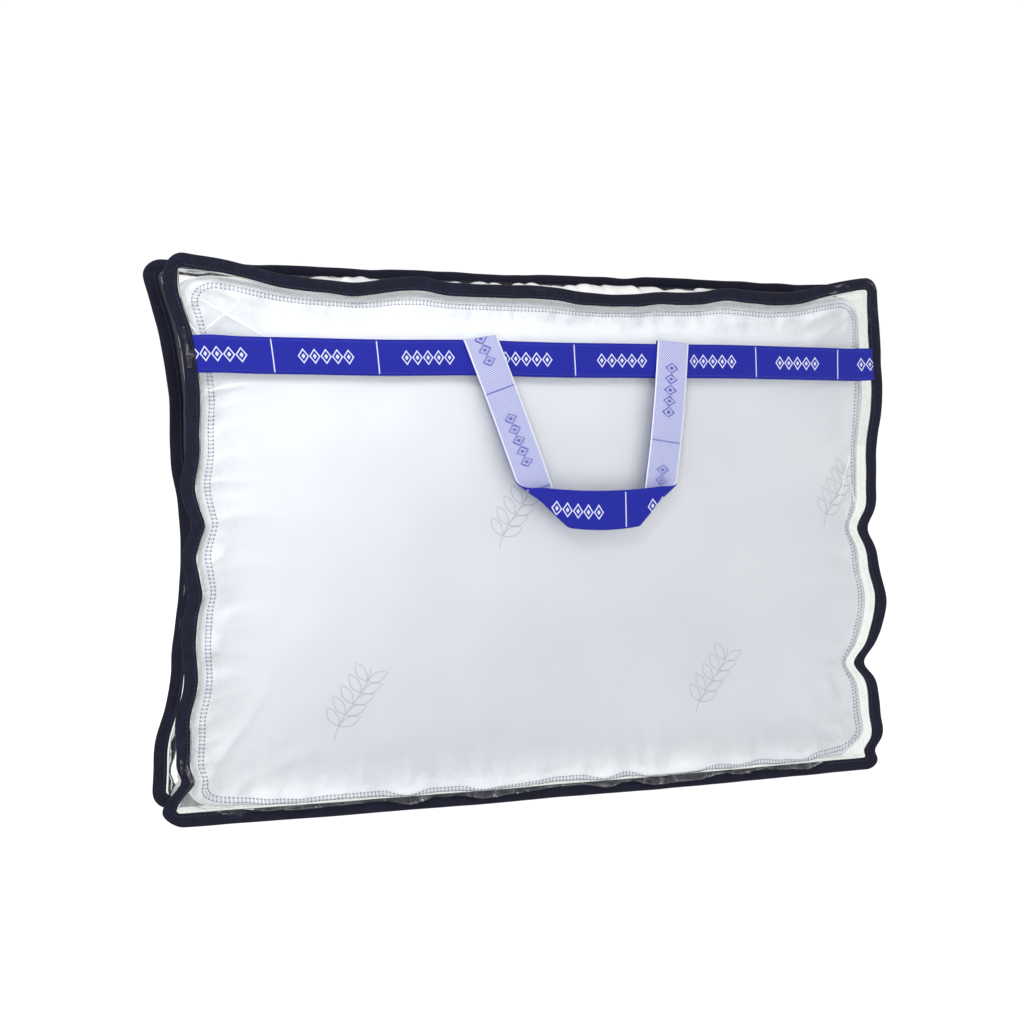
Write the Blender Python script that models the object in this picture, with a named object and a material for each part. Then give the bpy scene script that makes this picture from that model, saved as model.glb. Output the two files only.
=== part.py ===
"""Bed pillow packed in its clear zipped carry bag, standing on its long edge.

Frame: metres, +Z up, +X along the width, the front panel faces -Y.
Origin: centre of the footprint, on the floor.
Every soft piece is laid out on a plain box-shaped bag, and settle() then
gives all of them the same sag, so pieces that touch stay together.
"""

import math

import bmesh
import bpy
from mathutils.bvhtree import BVHTree

MM = 0.001

# Overall sizes of the bag, outside its bindings.
BAG_WIDTH = 710 * MM
BAG_HEIGHT = 490 * MM
BAG_DEPTH = 80 * MM              # between the planes of the two bindings
CORNER_RADIUS = 16 * MM
BULGE = 22 * MM                  # how far each panel swells past its binding

# How the full bag sags between its four corners.
TOP_DIP = 20 * MM                # front top edge, below its two corners
LEFT_DIP = 14 * MM
RIGHT_DIP = 4 * MM
EAR_REACH = 130 * MM             # length in which a corner's flare dies away

# Materials and clearances.
GAP = 0.3 * MM
FILM = 0.5 * MM
TAPE = 0.6 * MM
COVER = 1.0 * MM
WEBBING = 1.3 * MM
THREAD = 0.3 * MM
THREAD_WIDTH = 0.6 * MM

# Fabric binding, a U folded over the raw edges of panel and gusset.
BINDING_WIDTH = 12 * MM
BINDING_WALL = 0.6 * MM
SLOT = 2 * FILM + 3 * GAP
BINDING_THICKNESS = SLOT + 2 * BINDING_WALL
SEAM_EDGE = BINDING_WALL + 3 * GAP      # raw edges, measured from the outside
GUSSET_INSET = BINDING_WIDTH + 5 * GAP  # gusset wall, measured from the outside

# Zip.
ZIP_SETBACK = 17 * MM            # zip line in front of the back binding
TAPE_WIDTH = 15 * MM             # one half of the zip
TAPE_OVERLAP = 6 * MM            # front tape over the clear strip
COIL_WIDTH = 1.6 * MM
COIL_HEIGHT = 1.4 * MM
COIL_SPACE = 1.5 * MM            # between the two coils, for the slider's bridge
ZIP_LOW_END = 272 * MM           # height where the zip ends on the left side
ZIP_RIGHT_END = 325 * MM         # where it ends on the top, from the middle
END_TAB_LENGTH = 24 * MM
END_TAB = 1.2 * MM
SLIDER_LENGTH = 12 * MM
SLIDER_WIDTH = 8.4 * MM
SLIDER_PLATE = 1.0 * MM
SLIDER_BRIDGE = 0.8 * MM
SLIDER_REST = 296 * MM           # closed, from the middle of the bag
BAIL_REACH = 5.2 * MM
BAIL_RISE = 2.6 * MM
BAIL_BAR = 0.8 * MM
PULL_LENGTH = 24 * MM
PULL_WIDTH = 6 * MM
PULL_THICKNESS = 1.0 * MM

# Pillow.
PILLOW_INSET = 16.5 * MM           # its edge, from the outside of the bag
PILLOW_CORNER = 28 * MM
PILLOW_EDGE_DROP = 7 * MM        # seam behind the film, at the pillow's edge
PILLOW_EDGE_ROLL = 22 * MM       # width in which the cover rises from its seam
COVER_CLEARANCE = 1.2 * MM       # film to cover
LADDER_OFFSET = 4.5 * MM           # hem-stitch tape, from the pillow's edge
LADDER_WIDTH = 5.5 * MM
LADDER_MARGIN = 1.5 * MM
FILL_CLEARANCE = 0.8 * MM

# Webbing band and carry handle.
WEBBING_WIDTH = 32 * MM
BAND_HEIGHT = BAG_HEIGHT - 87 * MM   # middle of the band, above the floor
HANDLE_SHIFT = 17 * MM           # middle of the handle, from the bag's middle
HANDLE_SPREAD = 194 * MM         # between the middles of the two legs
HANDLE_DROP = 151 * MM           # hinge to the middle of the grip
GRIP_SPREAD = 118 * MM           # between the legs' middles at the grip
GRIP_SHIFT = 33 * MM             # middle of the grip, from the bag's middle
GRIP_RADIUS = 24 * MM
HANDLE_STANDOFF = 1.6 * MM       # handle in front of the band and panel
TAIL_LENGTH = 28 * MM
TAIL_LIFT_RAMP = 14 * MM
BAND_CLEARANCE = 0.6 * MM        # band, and the two tails under it, over the film
STITCH_MARGIN = 2.5 * MM
STITCH_BOX = 22 * MM

# Spacing of the outline's points.
STEP = 50 * MM
BAND_STEP = 12 * MM
ARC_STEPS = 2
PILLOW_ARC_STEPS = 4
GRIP_ARC_STEPS = 4
COVER_RING_SCALES = (0.92, 0.7, 0.4)
PANEL_RING_SCALES = (0.97, 0.91, 0.83, 0.65, 0.35)

HALF_W = BAG_WIDTH / 2
HALF_H = BAG_HEIGHT / 2
HALF_D = BAG_DEPTH / 2
ZIP_Y = HALF_D - ZIP_SETBACK
DIP_START_Y = ZIP_Y - TAPE_WIDTH * 0.7    # the top's dip deepens forward of here
DIP_RUN = BAG_DEPTH * 0.8
BAND_TOP = BAND_HEIGHT + WEBBING_WIDTH / 2
BAND_BOTTOM = BAND_HEIGHT - WEBBING_WIDTH / 2
TAPE_INSET = GUSSET_INSET - GAP - TAPE    # outer face of the zip tapes
LEG_CENTRES = (HANDLE_SHIFT - HANDLE_SPREAD / 2, HANDLE_SHIFT + HANDLE_SPREAD / 2)
HINGE_Z = BAND_TOP + 1 * MM


# ---------------------------------------------------------------- scene

for old in list(bpy.data.objects):
    bpy.data.objects.remove(old, do_unlink=True)


def material(name, colour, roughness, metallic=0.0, alpha=1.0):
    """A plain Principled material."""
    mat = bpy.data.materials.new(name)
    mat.use_nodes = True
    shader = mat.node_tree.nodes["Principled BSDF"]
    shader.inputs["Base Color"].default_value = (*colour, 1.0)
    shader.inputs["Roughness"].default_value = roughness
    shader.inputs["Metallic"].default_value = metallic
    shader.inputs["Alpha"].default_value = alpha
    return mat


COTTON = material("white_microfibre", (0.86, 0.87, 0.90), 0.85)
LADDER = material("grey_hem_stitch", (0.36, 0.37, 0.45), 0.8)
WADDING = material("polyester_fill", (0.93, 0.93, 0.93), 0.95)
CLEAR = material("clear_film", (0.90, 0.92, 0.92), 0.08, alpha=0.25)
NAVY = material("navy_tape", (0.008, 0.009, 0.028), 0.75)
COIL = material("navy_nylon", (0.012, 0.014, 0.04), 0.4)
BLUE = material("blue_webbing", (0.015, 0.02, 0.45), 0.6)
THREADS = material("blue_thread", (0.02, 0.03, 0.35), 0.7)
METAL = material("zip_slider_paint", (0.02, 0.022, 0.05), 0.35, metallic=0.6)


# ---------------------------------------------------------------- shape of the bag

def smooth(t):
    """0 below 0, 1 above 1, with level ends."""
    t = min(max(t, 0.0), 1.0)
    return t * t * (3 - 2 * t)


def settle(point):
    """The sag that the standing, filled bag takes between its corners."""
    x, y, z = point
    along_top = smooth((HALF_W - abs(x)) / EAR_REACH)
    front_share = smooth((DIP_START_Y - y) / DIP_RUN)
    upper_share = smooth((z - BAND_TOP) / (BAG_HEIGHT - GUSSET_INSET - BAND_TOP))
    along_side = smooth(z / EAR_REACH) * smooth((BAG_HEIGHT - z) / EAR_REACH)
    left_share = smooth(-x / HALF_W)
    right_share = smooth(x / HALF_W)
    x += along_side * (LEFT_DIP * left_share - RIGHT_DIP * right_share)
    z -= TOP_DIP * along_top * front_share * upper_share
    return x, y, z


def crown(x, z):
    """Swelling of a panel, from 0 in the binding to 1 in the middle."""
    u = abs(x) / (HALF_W - GUSSET_INSET)
    v = abs(z - HALF_H) / (HALF_H - GUSSET_INSET)
    return max(0.0, 1 - u ** 3) * max(0.0, 1 - v ** 3)


def film_y(x, z, side):
    """Middle of the panel film. side is -1 for the front and 1 for the back."""
    return side * (HALF_D + (FILM + GAP) / 2 + BULGE * crown(x, z))


def cover_y(x, z, side):
    """Outer face of the pillow's cover, behind the film."""
    edge_x = HALF_W - PILLOW_INSET - abs(x)
    edge_z = HALF_H - PILLOW_INSET - abs(z - HALF_H)
    rise = smooth(edge_x / PILLOW_EDGE_ROLL) * smooth(edge_z / PILLOW_EDGE_ROLL)
    drop = COVER_CLEARANCE + PILLOW_EDGE_DROP * (1 - rise)
    return film_y(x, z, side) - side * (FILM / 2 + drop)


# ---------------------------------------------------------------- outlines

def steps(start, end, spacing=STEP):
    """Evenly spaced values from start to end, both included."""
    count = max(1, math.ceil(abs(end - start) / spacing - 1e-6))
    return [start + (end - start) * i / count for i in range(count + 1)]


def corner(sign_x, sign_z, first_angle):
    """Stations of one rounded corner, turning clockwise by a quarter."""
    return [("corner", sign_x, sign_z, first_angle - 90 * i / ARC_STEPS)
            for i in range(1, ARC_STEPS)]


def rim_point(station, inset):
    """Plan position of a station on the bag's outline, moved inward."""
    kind = station[0]
    if kind == "left":
        return -HALF_W + inset, station[1]
    if kind == "right":
        return HALF_W - inset, station[1]
    if kind == "top":
        return station[1], BAG_HEIGHT - inset
    if kind == "bottom":
        return station[1], inset
    _, sign_x, sign_z, angle = station
    radius = CORNER_RADIUS - inset
    centre_x = sign_x * (HALF_W - CORNER_RADIUS)
    centre_z = HALF_H + sign_z * (HALF_H - CORNER_RADIUS)
    angle = math.radians(angle)
    return centre_x + radius * math.cos(angle), centre_z + radius * math.sin(angle)


EDGE_X = HALF_W - CORNER_RADIUS
EDGE_Z = BAG_HEIGHT - CORNER_RADIUS
TOP_LEFT = corner(-1, 1, 180)
TOP_RIGHT = corner(1, 1, 90)
BOTTOM_RIGHT = corner(1, -1, 0)
BOTTOM_LEFT = corner(-1, -1, 270)


HALF_TAB = END_TAB_LENGTH / 2
COIL_LOW_END = ZIP_LOW_END + HALF_TAB + GAP
COIL_RIGHT_END = ZIP_RIGHT_END - HALF_TAB - GAP

# The coils run between the second and the last but one of these stations.
ZIP_RUN = (
    [("left", ZIP_LOW_END)]
    + [("left", z) for z in steps(COIL_LOW_END, EDGE_Z)] + TOP_LEFT
    + [("top", x) for x in steps(-EDGE_X, COIL_RIGHT_END)]
    + [("top", ZIP_RIGHT_END)])

GUSSET_RUN = (
    [("top", x) for x in steps(ZIP_RIGHT_END + GAP, EDGE_X)] + TOP_RIGHT
    + [("right", z) for z in steps(EDGE_Z, CORNER_RADIUS)] + BOTTOM_RIGHT
    + [("bottom", x) for x in steps(EDGE_X, -EDGE_X)] + BOTTOM_LEFT
    + [("left", z) for z in steps(CORNER_RADIUS, ZIP_LOW_END - HALF_TAB)]
    + [("left", ZIP_LOW_END - GAP)])

# Bindings and panels share both runs' stations, so all their facets agree.
WHOLE_RIM = ZIP_RUN + GUSSET_RUN[1:-1]


def pillow_loop(inset=0.0):
    """Plan outline of the pillow, a rectangle with well rounded corners."""
    half_w = HALF_W - PILLOW_INSET - inset
    half_h = HALF_H - PILLOW_INSET - inset
    radius = PILLOW_CORNER - inset
    centres = [(-1, 1, 180), (1, 1, 90), (1, -1, 0), (-1, -1, -90)]
    points = []
    for sign_x, sign_z, first in centres:
        centre_x = sign_x * (half_w - radius)
        centre_z = HALF_H + sign_z * (half_h - radius)
        for i in range(PILLOW_ARC_STEPS + 1):
            angle = math.radians(first - 90 * i / PILLOW_ARC_STEPS)
            points.append((centre_x + radius * math.cos(angle),
                           centre_z + radius * math.sin(angle)))
    loop = []
    for i, start in enumerate(points):
        end = points[(i + 1) % len(points)]
        count = max(1, round(math.dist(start, end) / STEP))
        loop += [(start[0] + (end[0] - start[0]) * k / count,
                  start[1] + (end[1] - start[1]) * k / count) for k in range(count)]
    return loop


def shrink(loop, scale):
    """The loop scaled towards the middle of the panel."""
    return [(x * scale, HALF_H + (z - HALF_H) * scale) for x, z in loop]


# ---------------------------------------------------------------- mesh makers

SURFACES = {}


def surface_y(name, x, z, side):
    """Outermost y of a finished piece at a plan point, seen from one side."""
    hit = SURFACES[name].ray_cast((x, side, z), (0, -side, 0))[0]
    return hit[1]


def laid_on(name, x, z, side, height):
    """Point at a height above a finished piece, for a plan point before sag."""
    sunk_x, _, sunk_z = settle((x, side * HALF_D, z))
    return sunk_x, surface_y(name, sunk_x, sunk_z, side) + side * height, sunk_z


def add_piece(name, vertices, faces, mat, origin=(0, 0, 0), settled=True):
    """A named object from corner points, with its faces turned outward."""
    if settled:
        vertices = [settle(v) for v in vertices]
    local = [tuple(c - o for c, o in zip(v, origin)) for v in vertices]
    mesh = bpy.data.meshes.new(name)
    mesh.from_pydata(local, [], faces)
    bm = bmesh.new()
    bm.from_mesh(mesh)
    bmesh.ops.recalc_face_normals(bm, faces=bm.faces)
    bm.to_mesh(mesh)
    bm.free()
    mesh.materials.append(mat)
    mesh.shade_smooth()
    mesh.set_sharp_from_angle(angle=math.radians(40))
    piece = bpy.data.objects.new(name, mesh)
    piece.location = origin
    bpy.context.collection.objects.link(piece)
    SURFACES[name] = BVHTree.FromPolygons(vertices, faces)
    return piece


def sweep(name, stations, profile, mat, closed=False):
    """Carry a closed (inset, y) profile along stations of the rim."""
    size = len(profile)
    count = len(stations)
    vertices = []
    for station in stations:
        for inset, y in profile:
            x, z = rim_point(station, inset)
            vertices.append((x, y, z))
    faces = []
    for i in range(count if closed else count - 1):
        a = i * size
        b = (i + 1) % count * size
        for k in range(size):
            n = (k + 1) % size
            faces.append((a + k, a + n, b + n, b + k))
    if not closed:
        faces.append(tuple(range(size)))
        faces.append(tuple(range((count - 1) * size, count * size)))
    return add_piece(name, vertices, faces, mat)


def layered(name, rings, outer, inner, mat, centre=True):
    """A sheet with an outer and an inner face over concentric plan rings.

    outer and inner turn a plan point into the two faces' points. With centre,
    the last ring closes on a middle point; without, the sheet is a frame.
    """
    size = len(rings[0])
    vertices = []
    for face_point in (outer, inner):
        for ring in rings:
            vertices += [face_point(x, z) for x, z in ring]
    layer = len(rings) * size
    faces = []
    for first in (0, layer):
        for r in range(len(rings) - 1):
            for k in range(size):
                n = (k + 1) % size
                a = first + r * size
                faces.append((a + k, a + n, a + size + n, a + size + k))
    edges = [0] if centre else [0, layer - size]
    for start in edges:
        for k in range(size):
            n = (k + 1) % size
            faces.append((start + k, start + n, start + layer + n, start + layer + k))
    if centre:
        for first, face_point in ((0, outer), (layer, inner)):
            middle = len(vertices)
            vertices.append(face_point(0.0, HALF_H))
            last = first + layer - size
            for k in range(size):
                faces.append((last + k, last + (k + 1) % size, middle))
    return add_piece(name, vertices, faces, mat, settled=False)


def ribbon(name, rows, thickness, mat, origin=(0, 0, 0)):
    """A flat strip in its final place. Each row holds points of its back face."""
    across = len(rows[0])
    back = [p for row in rows for p in row]
    front = [(x, y - thickness, z) for x, y, z in back]
    total = len(back)
    faces = []
    for first in (0, total):
        for i in range(len(rows) - 1):
            for k in range(across - 1):
                a = first + i * across + k
                faces.append((a, a + 1, a + across + 1, a + across))
    border = ([k for k in range(across)]
              + [i * across + across - 1 for i in range(1, len(rows))]
              + [(len(rows) - 1) * across + k for k in range(across - 2, -1, -1)]
              + [i * across for i in range(len(rows) - 2, 0, -1)])
    for i, a in enumerate(border):
        b = border[(i + 1) % len(border)]
        faces.append((a, b, b + total, a + total))
    return add_piece(name, back + front, faces, mat, origin, settled=False)


# ---------------------------------------------------------------- pillow

def inner_rings():
    """Rings that the cover and the fill share, so that their facets agree."""
    inner = pillow_loop(LADDER_OFFSET + LADDER_WIDTH + LADDER_MARGIN)
    return ([pillow_loop(LADDER_OFFSET - LADDER_MARGIN), inner]
            + [shrink(inner, scale) for scale in COVER_RING_SCALES])


def make_pillow_cover(name, side):
    """Front or back cover, seamed to the pillow's side strip at its edge."""
    rings = [pillow_loop()] + inner_rings()
    layered(name, rings,
            lambda x, z: settle((x, cover_y(x, z, side), z)),
            lambda x, z: settle((x, cover_y(x, z, side) - side * COVER, z)), COTTON)


def make_ladder_tape(name, cover, side):
    """Hem-stitch tape lying on a cover, parallel to its edge."""
    rings = [pillow_loop(LADDER_OFFSET), pillow_loop(LADDER_OFFSET + LADDER_WIDTH)]
    layered(name, rings,
            lambda x, z: laid_on(cover, x, z, side, GAP + THREAD),
            lambda x, z: laid_on(cover, x, z, side, GAP), LADDER, centre=False)


def make_pillow_gusset():
    """Side strip of the pillow, between the two covers' edges."""
    outer = pillow_loop()
    inner = pillow_loop(COVER)
    count = len(outer)
    vertices = []
    for plan in (outer, inner):
        for x, z in plan:
            edge = abs(cover_y(x, z, 1)) - COVER - GAP
            vertices += [(x, -edge, z), (x, edge, z)]
    faces = []
    for k in range(count):
        a, n = 2 * k, 2 * ((k + 1) % count)
        b, m = a + 2 * count, n + 2 * count
        faces += [(a, n, n + 1, a + 1), (b, m, m + 1, b + 1),
                  (a, n, m, b), (a + 1, n + 1, m + 1, b + 1)]
    add_piece("pillow_gusset", vertices, faces, COTTON)


def make_fill():
    """The fibre that fills the case, a little smaller than its inside."""
    rings = [pillow_loop(COVER + FILL_CLEARANCE)] + inner_rings()
    room = COVER + FILL_CLEARANCE
    layered("fibre_fill", rings,
            lambda x, z: settle((x, cover_y(x, z, -1) + room, z)),
            lambda x, z: settle((x, cover_y(x, z, 1) - room, z)), WADDING)


# ---------------------------------------------------------------- bag

def make_panel(name, side):
    """Clear panel, its edge held in the binding's slot."""
    flat = [[rim_point(s, inset) for s in WHOLE_RIM]
            for inset in (SEAM_EDGE, GUSSET_INSET - 2 * GAP)]
    rings = flat + [shrink(flat[1], scale) for scale in PANEL_RING_SCALES]
    layered(name, rings,
            lambda x, z: settle((x, film_y(x, z, side) + side * FILM / 2, z)),
            lambda x, z: settle((x, film_y(x, z, side) - side * FILM / 2, z)), CLEAR)


def make_binding(name, side):
    """U-shaped tape round a panel's edge, open towards the middle."""
    plane = side * HALF_D
    half = BINDING_THICKNESS / 2
    slot = SLOT / 2
    profile = [(0, plane - half), (0, plane + half), (BINDING_WIDTH, plane + half),
               (BINDING_WIDTH, plane + slot), (BINDING_WALL, plane + slot),
               (BINDING_WALL, plane - slot), (BINDING_WIDTH, plane - slot),
               (BINDING_WIDTH, plane - half)]
    sweep(name, WHOLE_RIM, profile, NAVY, closed=True)


FLANGE_OUT = HALF_D - GAP / 2            # face next to the panel's edge
FLANGE_IN = FLANGE_OUT - FILM


def make_gusset():
    """Clear gusset: right side, bottom and lower left, with both flanges."""
    wall_in = GUSSET_INSET + FILM
    profile = [(SEAM_EDGE, -FLANGE_OUT), (wall_in, -FLANGE_OUT), (wall_in, FLANGE_OUT),
               (SEAM_EDGE, FLANGE_OUT), (SEAM_EDGE, FLANGE_IN), (GUSSET_INSET, FLANGE_IN),
               (GUSSET_INSET, -FLANGE_IN), (SEAM_EDGE, -FLANGE_IN)]
    sweep("bag_gusset", GUSSET_RUN, profile, CLEAR)


def make_zip_strips():
    """The clear strip in front of the zip, the two tapes and the two coils."""
    wall_in = GUSSET_INSET + FILM
    strip_end = ZIP_Y - TAPE_WIDTH + TAPE_OVERLAP
    clear = [(SEAM_EDGE, -FLANGE_OUT), (wall_in, -FLANGE_OUT), (wall_in, strip_end),
             (GUSSET_INSET, strip_end), (GUSSET_INSET, -FLANGE_IN), (SEAM_EDGE, -FLANGE_IN)]
    sweep("zip_clear_strip", ZIP_RUN, clear, CLEAR)

    tape_in = TAPE_INSET + TAPE
    half_space = COIL_SPACE / 2
    front = [(TAPE_INSET, ZIP_Y - TAPE_WIDTH), (tape_in, ZIP_Y - TAPE_WIDTH),
             (tape_in, ZIP_Y - half_space), (TAPE_INSET, ZIP_Y - half_space)]
    sweep("zip_front_tape", ZIP_RUN, front, NAVY)
    back = [(SEAM_EDGE, FLANGE_OUT), (tape_in, FLANGE_OUT), (tape_in, ZIP_Y + half_space),
            (TAPE_INSET, ZIP_Y + half_space), (TAPE_INSET, FLANGE_IN), (SEAM_EDGE, FLANGE_IN)]
    sweep("zip_back_tape", ZIP_RUN, back, NAVY)

    coil_in = TAPE_INSET - GAP
    coil_out = coil_in - COIL_HEIGHT
    for name, sign in (("zip_front_coil", -1), ("zip_back_coil", 1)):
        near = ZIP_Y + sign * half_space
        far = near + sign * COIL_WIDTH
        bead = [(coil_in, near), (coil_in, far), (coil_out, far - sign * COIL_WIDTH / 4),
                (coil_out, near + sign * COIL_WIDTH / 4)]
        sweep(name, ZIP_RUN[1:-1], bead, COIL)


def make_end_tabs():
    """Folded tabs that close the zip's two ends."""
    near = ZIP_Y - TAPE_WIDTH - GAP
    far = HALF_D - BINDING_THICKNESS
    inner = TAPE_INSET - GAP
    profile = [(inner, near), (inner, far), (inner - END_TAB, far), (inner - END_TAB, near)]
    left = [("left", ZIP_LOW_END + s * HALF_TAB) for s in (-1, 0, 1)]
    right = [("top", ZIP_RIGHT_END + s * HALF_TAB) for s in (-1, 0, 1)]
    sweep("zip_end_tab_left", left, profile, NAVY)
    sweep("zip_end_tab_right", right, profile, NAVY)


# ---------------------------------------------------------------- zip slider

SLIDER_AXIS_Z = BAG_HEIGHT - TAPE_INSET - TAPE / 2     # middle of the zip tapes
COIL_TOP = TAPE / 2 + GAP + COIL_HEIGHT                # above the tapes' middle
PLATE_TOP = COIL_TOP + GAP + SLIDER_PLATE
PULL_AXIS_RISE = PLATE_TOP + 1.0 * MM


def box(bm, low, high):
    """Add a box between two corners."""
    made = bmesh.ops.create_cube(bm, size=1.0)["verts"]
    for vert in made:
        for i in range(3):
            vert.co[i] = (low[i] + high[i]) / 2 + vert.co[i] * (high[i] - low[i])


def union_of_boxes(name, boxes, mat, origin, parent=None):
    """One solid from overlapping boxes, given in the piece's own frame."""
    parts = []
    for i, (low, high) in enumerate(boxes):
        mesh = bpy.data.meshes.new(name if i == 0 else f"{name}_cutter_{i}")
        bm = bmesh.new()
        box(bm, low, high)
        bm.to_mesh(mesh)
        bm.free()
        obj = bpy.data.objects.new(mesh.name, mesh)
        bpy.context.collection.objects.link(obj)
        obj.location = origin
        parts.append(obj)
    base = parts[0]
    base.data.materials.append(mat)
    for extra in parts[1:]:
        extra.hide_render = True
        extra.display_type = "WIRE"
        join = base.modifiers.new(extra.name, "BOOLEAN")
        join.operation = "UNION"
        join.object = extra
    if parent is not None:
        for obj in parts:
            obj.parent = parent
            obj.location = tuple(o - p for o, p in zip(origin, parent.location))
    return base


def make_slider():
    """Slider with its bail, closed at the right end of the zip."""
    half_l = SLIDER_LENGTH / 2
    half_w = SLIDER_WIDTH / 2
    under = -TAPE / 2 - GAP
    lip = TAPE / 2 + GAP
    lip_in = COIL_SPACE / 2 + COIL_WIDTH + GAP
    bite = 0.2 * MM
    bridge = SLIDER_BRIDGE / 2
    top = COIL_TOP + GAP
    bail_x = BAIL_REACH / 2
    bail_top = PLATE_TOP + BAIL_RISE
    boxes = [
        ((-half_l, -half_w, top), (half_l, half_w, PLATE_TOP)),
        ((-half_l, -half_w, under - SLIDER_PLATE), (half_l, half_w, under)),
        ((half_l - 4 * MM, -bridge, under - bite), (half_l - bite, bridge, top + bite)),
        ((-half_l + bite, lip_in, lip), (half_l - bite, half_w - bite, top + bite)),
        ((-half_l + bite, -half_w + bite, lip), (half_l - bite, -lip_in, top + bite)),
        ((-bail_x, -BAIL_BAR, PLATE_TOP - bite), (-bail_x + BAIL_BAR, BAIL_BAR, bail_top)),
        ((bail_x - BAIL_BAR, -BAIL_BAR, PLATE_TOP - bite), (bail_x, BAIL_BAR, bail_top)),
        ((-bail_x + bite, -BAIL_BAR + bite, bail_top - BAIL_BAR),
         (bail_x - bite, BAIL_BAR - bite, bail_top - bite)),
    ]
    return union_of_boxes("zip_slider", boxes, METAL, (SLIDER_REST, ZIP_Y, SLIDER_AXIS_Z))


def make_pull_tab(slider):
    """Pull tab, hung on the bail by its cross bar, lying to the right."""
    half_t = PULL_THICKNESS / 2
    half_w = PULL_WIDTH / 2
    arm = BAIL_BAR + 2 * GAP
    clear = BAIL_REACH / 2 + BAIL_BAR + 2 * GAP
    bite = 0.1 * MM
    boxes = [
        ((clear, -half_w, -half_t), (PULL_LENGTH, half_w, half_t)),
        ((-half_t + bite, arm, -half_t + bite), (clear + 1 * MM, half_w - bite, half_t - bite)),
        ((-half_t + bite, -half_w + bite, -half_t + bite), (clear + 1 * MM, -arm, half_t - bite)),
        ((-half_t, -half_w + 2 * bite, -half_t + 2 * bite),
         (half_t, half_w - 2 * bite, half_t - 2 * bite)),
    ]
    origin = (SLIDER_REST, ZIP_Y, SLIDER_AXIS_Z + PULL_AXIS_RISE)
    union_of_boxes("zip_pull_tab", boxes, METAL, origin, slider)


# ---------------------------------------------------------------- band and handle

def tail_lift(x):
    """How far the band stands off the film, to pass over the two tails."""
    reach = WEBBING_WIDTH / 2 + GAP
    near = min(abs(x - c) for c in LEG_CENTRES)
    over = smooth((reach + TAIL_LIFT_RAMP - near) / TAIL_LIFT_RAMP)
    return BAND_CLEARANCE + over * (WEBBING + 1.5 * GAP)


def band_columns():
    """x positions across the bag, closer together at the two tails."""
    end = HALF_W - BINDING_WIDTH - 2 * GAP
    marks = [-end, end]
    for centre in LEG_CENTRES:
        for sign in (-1, 1):
            edge = centre + sign * (WEBBING_WIDTH / 2 + GAP)
            marks += [edge, edge + sign * TAIL_LIFT_RAMP]
    marks.sort()
    columns = [marks[0]]
    for a, b in zip(marks, marks[1:]):
        columns += steps(a, b, BAND_STEP)[1:]
    return columns


def make_band():
    """Webbing band across the front panel, from binding to binding."""
    rows = [[laid_on("bag_front_panel", x, z, -1, tail_lift(x))
             for z in steps(BAND_BOTTOM, BAND_TOP, WEBBING_WIDTH / 2)]
            for x in band_columns()]
    ribbon("webbing_band", rows, WEBBING, BLUE)


def thread_row(name, z):
    """A row of stitching along the band."""
    half = THREAD_WIDTH / 2
    rows = [[laid_on("webbing_band", x, z + s, -1, GAP) for s in (-half, half)]
            for x in band_columns()[1:-1]]
    ribbon(name, rows, THREAD, THREADS)


def make_stitch_box(name, centre):
    """Square of stitching that holds a tail behind the band."""
    outer = STITCH_BOX / 2
    inner = outer - THREAD_WIDTH
    corners = [(-1, -1), (1, -1), (1, 1), (-1, 1)]
    vertices = []
    for half in (outer, inner):
        for height in (1.5 * GAP, 1.5 * GAP + THREAD):
            vertices += [laid_on("webbing_band", centre + sx * half,
                                 BAND_HEIGHT + sz * half, -1, height)
                         for sx, sz in corners]
    faces = []
    for k in range(4):
        n = (k + 1) % 4
        faces += [(k, n, 4 + n, 4 + k), (8 + k, 8 + n, 12 + n, 12 + k),
                  (k, n, 8 + n, 8 + k), (4 + k, 4 + n, 12 + n, 12 + k)]
    add_piece(name, vertices, faces, THREADS, settled=False)


def make_tail(name, centre):
    """End of the handle's webbing, sewn between the band and the film."""
    half = WEBBING_WIDTH / 2
    top = BAND_TOP + 1 * MM
    rows = [[laid_on("bag_front_panel", x, z, -1, BAND_CLEARANCE)
             for z in steps(top - TAIL_LENGTH, top, BAND_STEP)]
            for x in steps(centre - half, centre + half, BAND_STEP)]
    ribbon(name, rows, WEBBING, BLUE)


def handle_back_y(z):
    """Back face of the handle, which hangs against the fullest column."""
    fullest = film_y(0.0, min(z, BAND_TOP), -1) - FILM / 2
    return fullest - BAND_CLEARANCE - 2 * WEBBING - HANDLE_STANDOFF


def between(start, end, distance):
    """Point at a distance from start on the way to end."""
    share = distance / math.dist(start, end)
    return tuple(p + (q - p) * share for p, q in zip(start, end))


def handle_route():
    """Middle line of the handle, in (x, z), with rounded grip corners."""
    grip_z = HINGE_Z - HANDLE_DROP
    turns = [(LEG_CENTRES[0], HINGE_Z), (GRIP_SHIFT - GRIP_SPREAD / 2, grip_z),
             (GRIP_SHIFT + GRIP_SPREAD / 2, grip_z), (LEG_CENTRES[1], HINGE_Z)]
    route = []
    for before, at, after in zip(turns, turns[1:], turns[2:]):
        start = between(at, before, GRIP_RADIUS)
        end = between(at, after, GRIP_RADIUS)
        for k in range(GRIP_ARC_STEPS + 1):
            t = k / GRIP_ARC_STEPS
            route.append(tuple(p * (1 - t) ** 2 + 2 * q * t * (1 - t) + r * t * t
                               for p, q, r in zip(start, at, end)))
    halves = [between(top, low, math.dist(top, low) / 2)
              for top, low in ((turns[0], route[0]), (turns[-1], route[-1]))]
    return [turns[0], halves[0]] + route + [halves[1], turns[-1]]


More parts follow.
